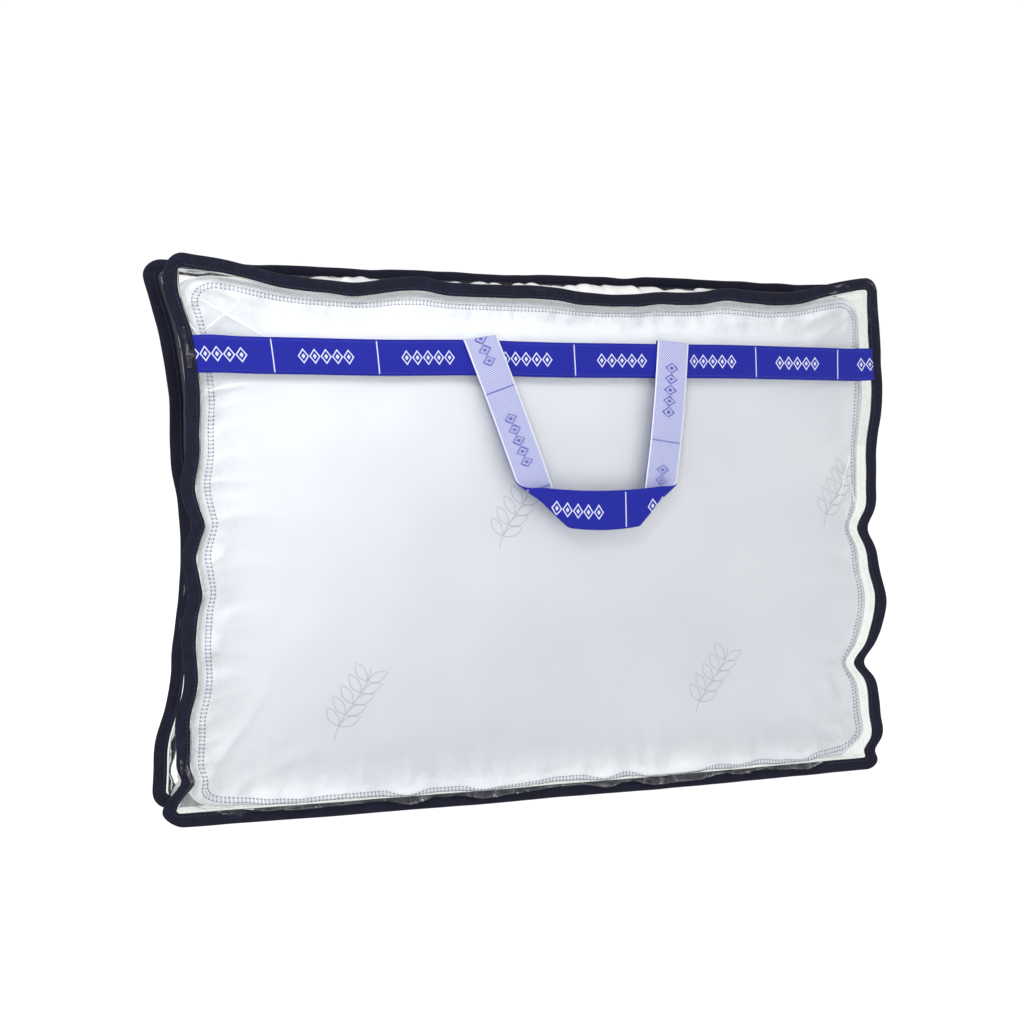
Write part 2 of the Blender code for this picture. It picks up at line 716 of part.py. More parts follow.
def make_handle():
    """Carry handle, hinged along the band's top edge and hanging down."""
    route = handle_route()
    half = WEBBING_WIDTH / 2
    rows = []
    for i, (x, z) in enumerate(route):
        before = route[max(i - 1, 0)]
        after = route[min(i + 1, len(route) - 1)]
        run_x, run_z = after[0] - before[0], after[1] - before[1]
        length = math.hypot(run_x, run_z)
        across = (-run_z / length, run_x / length)
        if i in (0, len(route) - 1):
            across = (math.copysign(1.0, across[0]), 0.0)
        rows.append([(x + across[0] * s, handle_back_y(z + across[1] * s),
                      z + across[1] * s) for s in (-half, 0.0, half)])
    axis = (HANDLE_SHIFT, handle_back_y(HINGE_Z) - WEBBING / 2, HINGE_Z)
    ribbon("handle_loop", rows, WEBBING, BLUE, origin=axis)


# ---------------------------------------------------------------- assembly

make_fill()
make_pillow_cover("pillow_front_cover", -1)
make_pillow_cover("pillow_back_cover", 1)
make_pillow_gusset()
make_ladder_tape("pillow_front_hem_stitch", "pillow_front_cover", -1)
make_ladder_tape("pillow_back_hem_stitch", "pillow_back_cover", 1)
make_panel("bag_front_panel", -1)
make_panel("bag_back_panel", 1)
make_gusset()
make_binding("front_binding", -1)
make_binding("back_binding", 1)
make_zip_strips()
make_end_tabs()
make_pull_tab(make_slider())
make_band()
thread_row("band_stitch_upper", BAND_TOP - STITCH_MARGIN)
thread_row("band_stitch_lower", BAND_BOTTOM + STITCH_MARGIN)
for side_name, leg in zip(("left", "right"), LEG_CENTRES):
    make_tail(f"handle_tail_{side_name}", leg)
    make_stitch_box(f"handle_stitch_{side_name}", leg)
make_handle()
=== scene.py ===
"""Looks of a bed pillow packed in its clear zipped carry bag.

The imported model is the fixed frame. Every piece here is laid out on a plain
box-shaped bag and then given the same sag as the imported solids, by settle().
Lengths are in metres: +Z is up and the front panel faces -Y.
"""
import math

import bpy
import numpy as np
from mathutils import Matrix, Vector
from mathutils.bvhtree import BVHTree


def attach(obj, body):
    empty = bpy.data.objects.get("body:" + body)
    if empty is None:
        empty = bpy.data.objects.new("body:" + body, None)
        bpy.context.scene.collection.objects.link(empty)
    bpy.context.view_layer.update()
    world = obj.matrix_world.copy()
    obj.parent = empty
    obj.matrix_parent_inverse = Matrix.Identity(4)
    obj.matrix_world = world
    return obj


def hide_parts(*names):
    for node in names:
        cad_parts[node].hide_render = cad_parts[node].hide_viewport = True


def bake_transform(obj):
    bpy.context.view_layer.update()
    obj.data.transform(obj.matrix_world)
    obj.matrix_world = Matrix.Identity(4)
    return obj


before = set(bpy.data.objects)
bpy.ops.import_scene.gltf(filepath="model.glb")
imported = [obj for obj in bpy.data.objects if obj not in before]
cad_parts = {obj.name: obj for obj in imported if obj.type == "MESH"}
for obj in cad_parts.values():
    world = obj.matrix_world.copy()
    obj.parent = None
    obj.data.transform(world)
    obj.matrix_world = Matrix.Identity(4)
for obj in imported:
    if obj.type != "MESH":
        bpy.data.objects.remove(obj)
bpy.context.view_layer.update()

MM = 0.001

# ---------------------------------------------------------------- sizes of the bag
HALF_W, BAG_H, HALF_D = 355 * MM, 490 * MM, 40 * MM
HALF_H = BAG_H / 2
CORNER_RADIUS = 16 * MM
BULGE = 22 * MM
TOP_DIP, LEFT_DIP, RIGHT_DIP = 20 * MM, 14 * MM, 4 * MM
EAR_REACH = 130 * MM             # the corners stay up over this length
DIP_START_Y, DIP_RUN = 12.5 * MM, 64 * MM
BOTTOM_BOW = 7 * MM
SLUMP_DOWN, SLUMP_OUT = 12 * MM, 4.5 * MM
WALL_INSET = 13.5 * MM           # the gusset's wall, from the outside
BINDING_WIDTH = 12 * MM
BAND_Z, WEBBING_WIDTH, WEBBING = 403 * MM, 32 * MM, 1.3 * MM
BAND_TOP = BAND_Z + WEBBING_WIDTH / 2
REPEAT = 96.5 * MM               # of the webbing's woven figure
BAND_PHASE, HANDLE_PHASE = 276.6 * MM, 20 * MM
ZIP_Y = 23 * MM
TAPE_INSET = 12.9 * MM
FLANGE_Y = HALF_D - 0.4 * MM     # where gusset and tape turn into a binding
ZIP_LOW_END, ZIP_RIGHT_END, HALF_TAB = 272 * MM, 325 * MM, 12 * MM
PILLOW_INSET, PILLOW_CORNER = 16.5 * MM, 28 * MM
EDGE_DROP, EDGE_ROLL = 7 * MM, 22 * MM
LADDER_OFFSET, LADDER_WIDTH = 4.5 * MM, 5.5 * MM
LEG_TOPS = (-80 * MM, 114 * MM)
LEG_FEET = (-26 * MM, 92 * MM)
GRIP_Z = 269 * MM
STITCH_LINE = LADDER_OFFSET + LADDER_WIDTH / 2
PILLOW_HALF_W, PILLOW_HALF_H = HALF_W - PILLOW_INSET, HALF_H - PILLOW_INSET


# ---------------------------------------------------------------- shape helpers

def smooth(t):
    """0 below 0, 1 above 1, with level ends."""
    t = np.clip(t, 0.0, 1.0)
    return t * t * (3 - 2 * t)


def hashed(i, j, k, seed):
    """A repeatable value from -1 to 1 for each lattice point."""
    n = (i * 73856093) ^ (j * 19349663) ^ (k * 83492791) ^ (seed * 15485863 + 101)
    n = ((n ^ (n >> 13)) * 1274126177) & 0x7FFFFFFF
    n = ((n ^ (n >> 11)) * 668265263) & 0x7FFFFFFF
    return ((n >> 8) & 0xFFFF) / 32767.5 - 1


def wander(points, size, seed=0):
    """Smooth value noise from -1 to 1. size is its grain along x, y and z."""
    q = np.asarray(points, float) / np.asarray(size, float)
    base = np.floor(q).astype(np.int64)
    f = smooth(q - base)
    total = 0.0
    for a in (0, 1):
        for b in (0, 1):
            for c in (0, 1):
                weight = ((f[..., 0] if a else 1 - f[..., 0])
                          * (f[..., 1] if b else 1 - f[..., 1])
                          * (f[..., 2] if c else 1 - f[..., 2]))
                total = total + weight * hashed(base[..., 0] + a, base[..., 1] + b,
                                                base[..., 2] + c, seed)
    return total


def stack(x, y, z):
    return np.stack(np.broadcast_arrays(x, y, z), -1).astype(float)


def edge_distance(x, z):
    """Distance from the outside of the bag, in its plan."""
    return np.minimum(HALF_W - abs(x), HALF_H - abs(z - HALF_H))


# Bulges and notches of the upright seams: which side, front (1) or back (0),
# height, distance outward and half length, in millimetres.
KINKS = [
    (-1, 1, 462, 6, 26), (-1, 1, 292, 4, 16), (-1, 1, 258, -4, 10), (-1, 1, 230, 4, 12),
    (-1, 1, 198, -3, 10), (-1, 1, 150, 4, 26), (-1, 1, 92, 5, 22), (-1, 1, 38, -7, 9),
    (-1, 1, 14, 6, 12), (-1, 0, 478, 9, 30), (-1, 0, 225, -12, 70), (-1, 0, 60, 4, 22),
    (1, 1, 470, -2, 20), (1, 1, 372, 6, 34), (1, 1, 242, -12, 15), (1, 1, 166, 12, 32),
    (1, 1, 106, -15, 14), (1, 1, 38, 4, 13), (1, 1, 19, -7, 8), (1, 0, 300, 4, 60),
]
# Extra sag and lift along the front's top seam: place, rise and half length.
TOP_KINKS = [(-128, 4, 26), (-190, -2, 20), (60, -5, 55), (185, 4, 30)]


def settle(p):
    """The sag of the standing bag, and the uneven hang of its seams."""
    x, y, z = p[..., 0], p[..., 1], p[..., 2]
    along_top = smooth((HALF_W - abs(x)) / EAR_REACH)
    forward = smooth((DIP_START_Y - y) / DIP_RUN)
    upper = smooth((z - BAND_TOP) / (BAG_H - WALL_INSET - BAND_TOP))
    along_side = smooth(z / EAR_REACH) * smooth((BAG_H - z) / EAR_REACH)
    out = p.copy()
    out[..., 0] += along_side * (LEFT_DIP * smooth(-x / HALF_W) - RIGHT_DIP * smooth(x / HALF_W))
    out[..., 2] -= TOP_DIP * along_top * forward * upper
    front = smooth((25 * MM - y) / (50 * MM))
    near_side = smooth(1.1 - (HALF_W - abs(x)) / (60 * MM))
    for sign, in_front, height, outward, half in KINKS:
        bump = np.exp(-((z - height * MM) / (half * MM)) ** 2)
        bump = bump * near_side * (front if in_front else 1 - front) * (x * sign > 0)
        out[..., 0] += sign * outward * MM * bump
    # The bottom run bows forward between the corners it stands on.
    out[..., 1] -= (BOTTOM_BOW * front * smooth((HALF_W - abs(x)) / (260 * MM))
                    * smooth((70 * MM - z) / (70 * MM)))
    near_top = smooth(1.1 - (BAG_H - z) / (50 * MM)) * smooth((8 * MM - y) / (30 * MM))
    for place, rise, half in TOP_KINKS:
        out[..., 2] += rise * MM * near_top * np.exp(-((x - place * MM) / (half * MM)) ** 2)
    # Everything near the rim wanders a little, but not along the top's zip.
    near_rim = smooth(1.15 - edge_distance(x, z) / (45 * MM))
    off_zip = smooth((8 * MM - y) / (30 * MM)) + smooth((y - 31 * MM) / (8 * MM))
    off_floor = smooth((z - 4 * MM) / (40 * MM))
    share = near_rim * off_zip
    out[..., 0] += share * off_floor * (1.4 * MM * wander(p, (0.06, 0.05, 0.045), 1)
                                        + 0.8 * MM * wander(p, (0.03, 0.05, 0.02), 2))
    out[..., 1] += share * (2.6 * MM * wander(p, (0.07, 0.08, 0.06), 3)
                            + 1.1 * MM * wander(p, (0.025, 0.08, 0.022), 4))
    out[..., 2] += share * off_floor * (1.6 * MM * wander(p, (0.05, 0.05, 0.07), 5)
                                        + 1.0 * MM * wander(p, (0.022, 0.05, 0.03), 6))
    return out


def slump(p):
    """The filling hangs over the bottom bindings in soft scallops."""
    x, y, z = p[..., 0], p[..., 1], p[..., 2]
    low = np.exp(-((z - 23 * MM) / (15 * MM)) ** 2) * smooth((np.abs(y) - 30 * MM) / (12 * MM))
    low = low * smooth((HALF_W - 28 * MM - abs(x)) / (60 * MM)) * smooth((z - 11 * MM) / (8 * MM))
    scallop = 0.78 + 0.3 * wander(stack(x, np.sign(y), 0 * x), (0.024, 1, 1), 15)
    out = p.copy()
    out[..., 2] -= SLUMP_DOWN * low * scallop
    out[..., 2] -= 1.6 * MM * smooth((50 * MM - z) / (40 * MM)) * smooth((z - 12 * MM) / (4 * MM))
    out[..., 1] += np.sign(y) * SLUMP_OUT * low * (0.4 + scallop)
    return out


def crown(x, z):
    """Swelling of a panel, from 0 in the binding to 1 in the middle."""
    u = abs(x) / (HALF_W - WALL_INSET)
    v = abs(z - HALF_H) / (HALF_H - WALL_INSET)
    return np.maximum(0, 1 - u ** 3) * np.maximum(0, 1 - v ** 3)


def film_y(x, z, side):
    """Middle of a panel's film before its creases. side is -1 for the front."""
    return side * (HALF_D + 0.4 * MM + BULGE * crown(x, z))


def cover_y(x, z, side):
    """Outer face of the pillow, behind the film."""
    rise = (smooth((HALF_W - PILLOW_INSET - abs(x)) / EDGE_ROLL)
            * smooth((HALF_H - PILLOW_INSET - abs(z - HALF_H)) / EDGE_ROLL))
    low = smooth((100 * MM - z) / (100 * MM))
    return film_y(x, z, side) - side * (1.45 * MM + EDGE_DROP * (1 - rise) * (1 - 0.8 * low))


# Runs and corners of an outline, clockwise from the left side's foot: the way
# out, and each corner's signs and the angle at which its arc starts.
RUNS = [(-1, 0), (0, 1), (1, 0), (0, -1)]
CORNERS = [(-1, 1, 180), (1, 1, 90), (1, -1, 0), (-1, -1, -90)]


def outline_length(half_w, half_h, radius):
    return 4 * (half_w + half_h - 2 * radius) + 2 * math.pi * radius


def outline(s, half_w, half_h, radius):
    """Plan point and outward direction at a length s along a rounded rectangle."""
    s = np.mod(np.asarray(s, float), outline_length(half_w, half_h, radius))
    x, z, nx, nz = (np.zeros_like(s) for _ in range(4))
    arc = math.pi / 2 * radius
    at = 0.0
    for (out_x, out_z), (sign_x, sign_z, first) in zip(RUNS, CORNERS):
        half = (half_h if out_x else half_w) - radius
        on = (s >= at) & (s < at + 2 * half)
        t = s[on] - at - half
        x[on], z[on] = out_x * half_w + out_z * t, out_z * half_h - out_x * t
        nx[on], nz[on] = out_x, out_z
        at += 2 * half
        on = (s >= at) & (s < at + arc)
        angle = np.radians(first) - (s[on] - at) / radius
        nx[on], nz[on] = np.cos(angle), np.sin(angle)
        x[on] = sign_x * (half_w - radius) + radius * nx[on]
        z[on] = sign_z * (half_h - radius) + radius * nz[on]
        at += arc
    return x, z + HALF_H, nx, nz


RIM_LENGTH = outline_length(HALF_W, HALF_H, CORNER_RADIUS)


def rim(s):
    """Plan point and outward direction at a length s along the bag's outline."""
    return outline(s, HALF_W, HALF_H, CORNER_RADIUS)


TALL = BAG_H - 2 * CORNER_RADIUS
ARC = math.pi / 2 * CORNER_RADIUS

def s_left(z):
    """Length along the outline at a height on the left side."""
    return z - CORNER_RADIUS


def s_top(x):
    """Length along the outline at an x on the top."""
    return TALL + ARC + x + HALF_W - CORNER_RADIUS


def swept(s, inset, y):
    """A net of points at insets and depths across the outline, at lengths s along it."""
    x, z, nx, nz = (v[:, None] for v in rim(s))
    return stack(x - nx * inset, y, z - nz * inset)


def run_length(*coordinates):
    """Length along a line of points up to each of them."""
    steps = np.sqrt(sum(np.diff(values) ** 2 for values in coordinates))
    return np.concatenate([[0], np.cumsum(steps)])


# ---------------------------------------------------------------- mesh helpers

def make_piece(name, vertices, faces, mats, uv=None, mat_index=None, body="root"):
    """A smooth mesh object that rides on a body. uv is one pair per vertex."""
    mesh = bpy.data.meshes.new(name)
    mesh.from_pydata([tuple(v) for v in np.asarray(vertices).reshape(-1, 3)], [],
                     [tuple(int(i) for i in f) for f in faces])
    for mat in mats if isinstance(mats, (list, tuple)) else [mats]:
        mesh.materials.append(mat)
    if uv is not None:
        layer = mesh.uv_layers.new(name="run")
        loops = np.zeros(len(mesh.loops), dtype=np.int64)
        mesh.loops.foreach_get("vertex_index", loops)
        layer.data.foreach_set("uv", np.asarray(uv, np.float32).reshape(-1, 2)[loops].ravel())
    if mat_index is not None:
        mesh.polygons.foreach_set("material_index", np.asarray(mat_index, np.int32))
    mesh.shade_smooth()
    obj = bpy.data.objects.new(name, mesh)
    bpy.context.scene.collection.objects.link(obj)
    if body:
        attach(obj, body)
    return obj


def declare(obj, slot, *nodes, **sheet):
    """Hides the imported nodes that a piece replaces. The piece, its slot and its flat sheet are
    not used.
    """
    if nodes:
        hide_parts(*nodes)


def grid_faces(rows, cols, wrap_rows=False, wrap_cols=False, start=0):
    """Quads of a rows by cols net of points."""
    r = np.arange(rows if wrap_rows else rows - 1)[:, None]
    c = np.arange(cols if wrap_cols else cols - 1)[None, :]
    r1, c1 = (r + 1) % rows, (c + 1) % cols
    quads = np.stack([r * cols + c, r * cols + c1, r1 * cols + c1, r1 * cols + c], -1)
    return (quads.reshape(-1, 4) + start).tolist()


def rounded_grid(half_w, half_h, radius, step):
    """A net of plan points that fills a rectangle with rounded corners."""
    nx, nz = round(2 * half_w / step) + 1, round(2 * half_h / step) + 1
    x, z = np.meshgrid(np.linspace(-half_w, half_w, nx), np.linspace(-half_h, half_h, nz))
    a = np.maximum(abs(x) - (half_w - radius), 0)
    b = np.maximum(abs(z) - (half_h - radius), 0)
    pull = np.maximum(a, b) / np.maximum(np.hypot(a, b), 1e-12)
    x = np.where(a * b > 0, np.sign(x) * (half_w - radius + a * pull), x)
    z = np.where(a * b > 0, np.sign(z) * (half_h - radius + b * pull), z)
    return x, z + HALF_H


def border_of(rows, cols):
    """Indices round the border of a net of points, without a repeat."""
    top = list(range(cols))
    right = [r * cols + cols - 1 for r in range(1, rows)]
    bottom = [(rows - 1) * cols + c for c in range(cols - 2, -1, -1)]
    left = [r * cols for r in range(rows - 2, 0, -1)]
    return top + right + bottom + left


def offset_shell(mid, thickness):
    """Front and back faces of a net of points, half a thickness to each side."""
    along = np.gradient(mid, axis=0)
    across = np.gradient(mid, axis=1)
    normal = np.cross(along, across)
    normal /= np.maximum(np.linalg.norm(normal, axis=-1, keepdims=True), 1e-12)
    return mid + normal * thickness / 2, mid - normal * thickness / 2


def strap(name, mid, length, width, thickness, mats, body="root"):
    """A woven strap with thickness. mid is a net, along by across."""
    rows, cols = mid.shape[:2]
    upper, lower = offset_shell(mid, thickness)
    uv = np.stack(np.broadcast_arrays(length[:, None], width[None, :]), -1)
    count = rows * cols
    faces = grid_faces(rows, cols)
    index = [0] * len(faces)
    lower_faces = [f[::-1] for f in grid_faces(rows, cols, start=count)]
    faces += lower_faces
    index += [len(mats) - 1] * len(lower_faces)
    rim_ids = border_of(rows, cols)
    for a, b in zip(rim_ids, rim_ids[1:] + rim_ids[:1]):
        faces.append([b, a, a + count, b + count])
        index.append(0)
    points = np.concatenate([upper.reshape(-1, 3), lower.reshape(-1, 3)])
    return make_piece(name, points, faces, mats, np.concatenate([uv.reshape(-1, 2)] * 2),
                      index, body)


def bead(length, width, height):
    """A small domed stitch in its own frame: along x, across y, up z."""
    upper = [(-0.36, 0.42), (0, 0.5), (0.36, 0.42)]
    ring = [(-0.5, 0), *upper, (0.5, 0), *[(x, -y) for x, y in upper[::-1]]]
    low = [(x * length, y * width, 0) for x, y in ring]
    high = [(x * length * 0.72, y * width * 0.6, height) for x, y in ring]
    faces = [[k, (k + 1) % 8, 8 + (k + 1) % 8, 8 + k] for k in range(8)]
    return np.array(low + high), faces + [list(range(8, 16))]


def stitches(name, places, length, width, height, mat, body="root"):
    """One mesh of many stitches. places holds (point, along, up) triples."""
    shape, faces = bead(length, width, height)
    vertices, all_faces = [], []
    for k, (point, along, up) in enumerate(places):
        up = np.array(up) / np.linalg.norm(up)
        along = np.array(along) - up * np.dot(along, up)
        along /= np.linalg.norm(along)
        across = np.cross(up, along)
        vertices.append(np.array(point) + shape @ np.stack([along, across, up]))
        all_faces += [[i + 16 * k for i in f] for f in faces]
    return make_piece(name, np.concatenate(vertices), all_faces, mat, body=body)


# ---------------------------------------------------------------- materials

class Nodes:
    """Short names for building a material's nodes."""

    def __init__(self, name):
        self.mat = bpy.data.materials.new(name)
        self.mat.use_nodes = True
        self.tree = self.mat.node_tree
        self.shader = self.tree.nodes["Principled BSDF"]
        self.output = self.tree.nodes["Material Output"]

    def node(self, kind, **values):
        made = self.tree.nodes.new(kind)
        for key, value in values.items():
            if hasattr(made, key):
                setattr(made, key, value)
            else:
                made.inputs[key.replace("_", " ")].default_value = value
        return made

    def link(self, source, target):
        self.tree.links.new(source, target)

    def math(self, operation, a, b=0.0, c=0.0):
        made = self.tree.nodes.new("ShaderNodeMath")
        made.operation = operation
        for socket, value in zip(made.inputs, (a, b, c)):
            if isinstance(value, (int, float)):
                socket.default_value = value
            else:
                self.link(value, socket)
        return made.outputs[0]

    def place(self, uv=False):
        """Coordinates in metres; uv gives (along, across) of a strap."""
        return self.node("ShaderNodeTexCoord").outputs["UV" if uv else "Object"]

    def axis(self, vector, number):
        made = self.node("ShaderNodeSeparateXYZ")
        self.link(vector, made.inputs[0])
        return made.outputs[number]

    def wave(self, source, length):
        """Sine of the given wavelength in metres."""
        return self.math("SINE", self.math("MULTIPLY", source, 2 * math.pi / length))

    def grey(self, source, low, high, start=0.3, end=0.7):
        """Ramp between two greys, for roughness."""
        return self.ramp(source, [(start, (low,) * 3), (end, (high,) * 3)])

    def noise(self, vector, scale, detail=2.0, rough=0.5):
        made = self.node("ShaderNodeTexNoise", Scale=scale, Detail=detail, Roughness=rough)
        self.link(vector, made.inputs["Vector"])
        return made.outputs["Fac"]

    def ramp(self, source, stops):
        made = self.node("ShaderNodeValToRGB")
        elements = made.color_ramp.elements
        while len(elements) < len(stops):
            elements.new(0.5)
        for element, (at, colour) in zip(elements, stops):
            element.position = at
            element.color = (*colour, 1) if len(colour) == 3 else colour
        self.link(source, made.inputs[0])
        return made.outputs[0]

    def mix(self, factor, a, b):
        made = self.node("ShaderNodeMix", data_type="RGBA")
        for socket, value in ((made.inputs[0], factor), (made.inputs[6], a), (made.inputs[7], b)):
            if isinstance(value, (int, float)):
                socket.default_value = value
            elif isinstance(value, tuple):
                socket.default_value = (*value, 1)
            else:
                self.link(value, socket)
        return made.outputs[2]

    def bump(self, height, strength, distance, normal=None):
        made = self.node("ShaderNodeBump", Strength=strength, Distance=distance)
        self.link(height, made.inputs["Height"])
        if normal is not None:
            self.link(normal, made.inputs["Normal"])
        return made.outputs[0]

    def finish(self, colour, normal=None, roughness=0.8, **values):
        if isinstance(colour, tuple):
            self.shader.inputs["Base Color"].default_value = (*colour, 1)
        else:
            self.link(colour, self.shader.inputs["Base Color"])
        if isinstance(roughness, (int, float)):
            self.shader.inputs["Roughness"].default_value = roughness
        else:
            self.link(roughness, self.shader.inputs["Roughness"])
        if normal is not None:
            self.link(normal, self.shader.inputs["Normal"])
        for key, value in values.items():
            self.shader.inputs[key.replace("_", " ")].default_value = value
        return self.mat


def case_fabric():
    """White brushed microfibre: fine plain weave with a soft sheen."""
    n = Nodes("case_microfibre")
    place = n.place()
    yarn = 0.62 * MM
    weave = n.math("MULTIPLY", n.wave(n.axis(place, 0), yarn), n.wave(n.axis(place, 2), yarn))
    nap = n.noise(place, 900, 3)
    cloud = n.noise(place, 9, 3, 0.6)
    colour = n.ramp(cloud, [(0.3, (0.85, 0.87, 0.92)), (0.7, (0.90, 0.92, 0.96))])
    soft = n.bump(n.noise(place, 70, 3), 0.25, 0.0012)
    normal = n.bump(n.math("MULTIPLY_ADD", weave, 0.5, nap), 0.35, 0.00012, soft)
    rough = n.grey(nap, 0.62, 0.78)
    return n.finish(colour, normal, rough, Sheen_Weight=0.25, Sheen_Roughness=0.4,
                    Specular_IOR_Level=0.35)


def ribbed_tape(name, dark, light, rib=0.0009, herringbone=False):
    """Woven tape, ribbed across its length, or in herringbone."""
    n = Nodes(name)
    place = n.place(uv=True)
    along, across = n.axis(place, 0), n.axis(place, 1)
    if herringbone:
        across = n.math("PINGPONG", across, 0.0035)
        along = n.math("ADD", along, across)
    ribs, threads = n.wave(along, rib), n.wave(across, rib * 0.8)
    weave = n.math("MULTIPLY_ADD", ribs, 0.7, n.math("MULTIPLY", threads, 0.3))
    worn = n.noise(n.place(), 160, 4, 0.65)
    tone = n.math("MULTIPLY_ADD", weave, 0.14, worn)
    colour = n.ramp(tone, [(0.32, dark), (0.75, light)])
    soft = n.bump(n.noise(n.place(), 110, 2), 0.3, 0.0014)
    normal = n.bump(weave, 0.55, 0.00018, soft)
    rough = n.grey(worn, 0.72, 0.9)
    return n.finish(colour, normal, rough, Sheen_Weight=0.10, Sheen_Roughness=0.35,
                    Specular_IOR_Level=0.2)


def webbing(name, ground, figure, light_face):
    """Twill webbing with woven lozenges between divider lines.

    The ground and the figure change places on the reverse.
    """
    n = Nodes(name)
    place = n.place(uv=True)
    along, across = n.axis(place, 0), n.axis(place, 1)
    off_centre = n.math("ABSOLUTE", across)
    cell = n.math("SUBTRACT", n.math("FRACT", n.math("DIVIDE", along, REPEAT)), 0.5)
    reach = n.math("ABSOLUTE", cell)
    # A chain of five lozenges in the middle of each repeat.
    half_long, half_wide = 5.2 * MM, 6.8 * MM
    step = n.math("PINGPONG", n.math("MULTIPLY", cell, REPEAT), half_long)
    rise = n.math("ADD", n.math("DIVIDE", step, half_long),
                  n.math("DIVIDE", off_centre, half_wide))
    ring = n.math("LESS_THAN", n.math("ABSOLUTE", n.math("SUBTRACT", rise, 0.86)), 0.13)
    core = n.math("LESS_THAN", rise, 0.34)
    lozenges = n.math("MULTIPLY", n.math("MAXIMUM", ring, core),
                      n.math("LESS_THAN", reach, 5 * half_long / REPEAT))
    divider = n.math("MULTIPLY", n.math("GREATER_THAN", reach, 0.5 - 0.55 * MM / REPEAT),
                     n.math("LESS_THAN", off_centre, 14.5 * MM))
    shown = n.math("MAXIMUM", lozenges, divider)
    # Diagonal twill lines, and the fine weft that runs across them.
    diagonal = n.wave(n.math("ADD", along, across), 2.3 * MM)
    weft = n.wave(along, 0.7 * MM)
    selvedge = n.math("GREATER_THAN", off_centre, 14.6 * MM)
    fuzz = n.noise(n.place(), 420, 3, 0.6)
    twill = n.math("MULTIPLY_ADD", diagonal, 0.5, 0.5)
    if light_face:
        speck = n.ramp(n.math("MULTIPLY_ADD", fuzz, 0.30, n.math("MULTIPLY", twill, 0.75)),
                       [(0.30, (0.09, 0.11, 0.46)), (0.56, ground)])
        plain = n.mix(selvedge, speck, (0.72, 0.74, 0.84))
    else:
        speck = n.ramp(n.math("MULTIPLY_ADD", fuzz, 0.6, n.math("MULTIPLY", twill, 0.45)),
                       [(0.25, tuple(c * 0.55 for c in ground)), (0.8, ground)])
        plain = n.mix(selvedge, speck, tuple(c * 0.8 for c in ground))
    cover = n.math("MULTIPLY", shown, n.math("MULTIPLY_ADD", weft, 0.12, 0.84))
    drawn = n.mix(cover, plain, figure)
    height = n.math("ADD", n.math("MULTIPLY", diagonal, 0.6), n.math("MULTIPLY", weft, 0.35))
    height = n.math("ADD", height, n.math("MULTIPLY", shown, 0.9))
    normal = n.bump(height, 0.6, 0.00016)
    rough = n.grey(fuzz, 0.5, 0.7)
    return n.finish(drawn, normal, rough, Sheen_Weight=0.04, Sheen_Roughness=0.3,
                    Specular_IOR_Level=0.22)


def thread(name, dark, light):
    """Twisted sewing thread."""
    n = Nodes(name)
    place = n.place()
    twist = n.node("ShaderNodeTexWave", Scale=700.0, Distortion=3.0, bands_direction="DIAGONAL")
    n.link(place, twist.inputs["Vector"])
    turns = n.math("MULTIPLY", twist.outputs["Fac"], 0.4)
    tone = n.math("MULTIPLY_ADD", n.noise(place, 300, 2), 0.6, turns)
    colour = n.ramp(tone, [(0.25, dark), (0.75, light)])
    rough = n.grey(tone, 0.55, 0.75, 0.2, 0.8)
    return n.finish(colour, n.bump(twist.outputs["Fac"], 0.4, 0.0001), rough,
                    Sheen_Weight=0.2, Specular_IOR_Level=0.4)


# Painted highlight lines along straight tension creases of the front film: ends and half width, in
# millimetres.
CREASE_HIGHLIGHTS = [((-336, 455), (-262, 414), 1.5), ((-332, 418), (-292, 452), 1.1),
           ((-318, 405), (-348, 442), 0.9), ((322, 330), (300, 262), 0.9),
           ((314, 300), (330, 240), 0.8), ((-326, 372), (-286, 380), 1.4)]


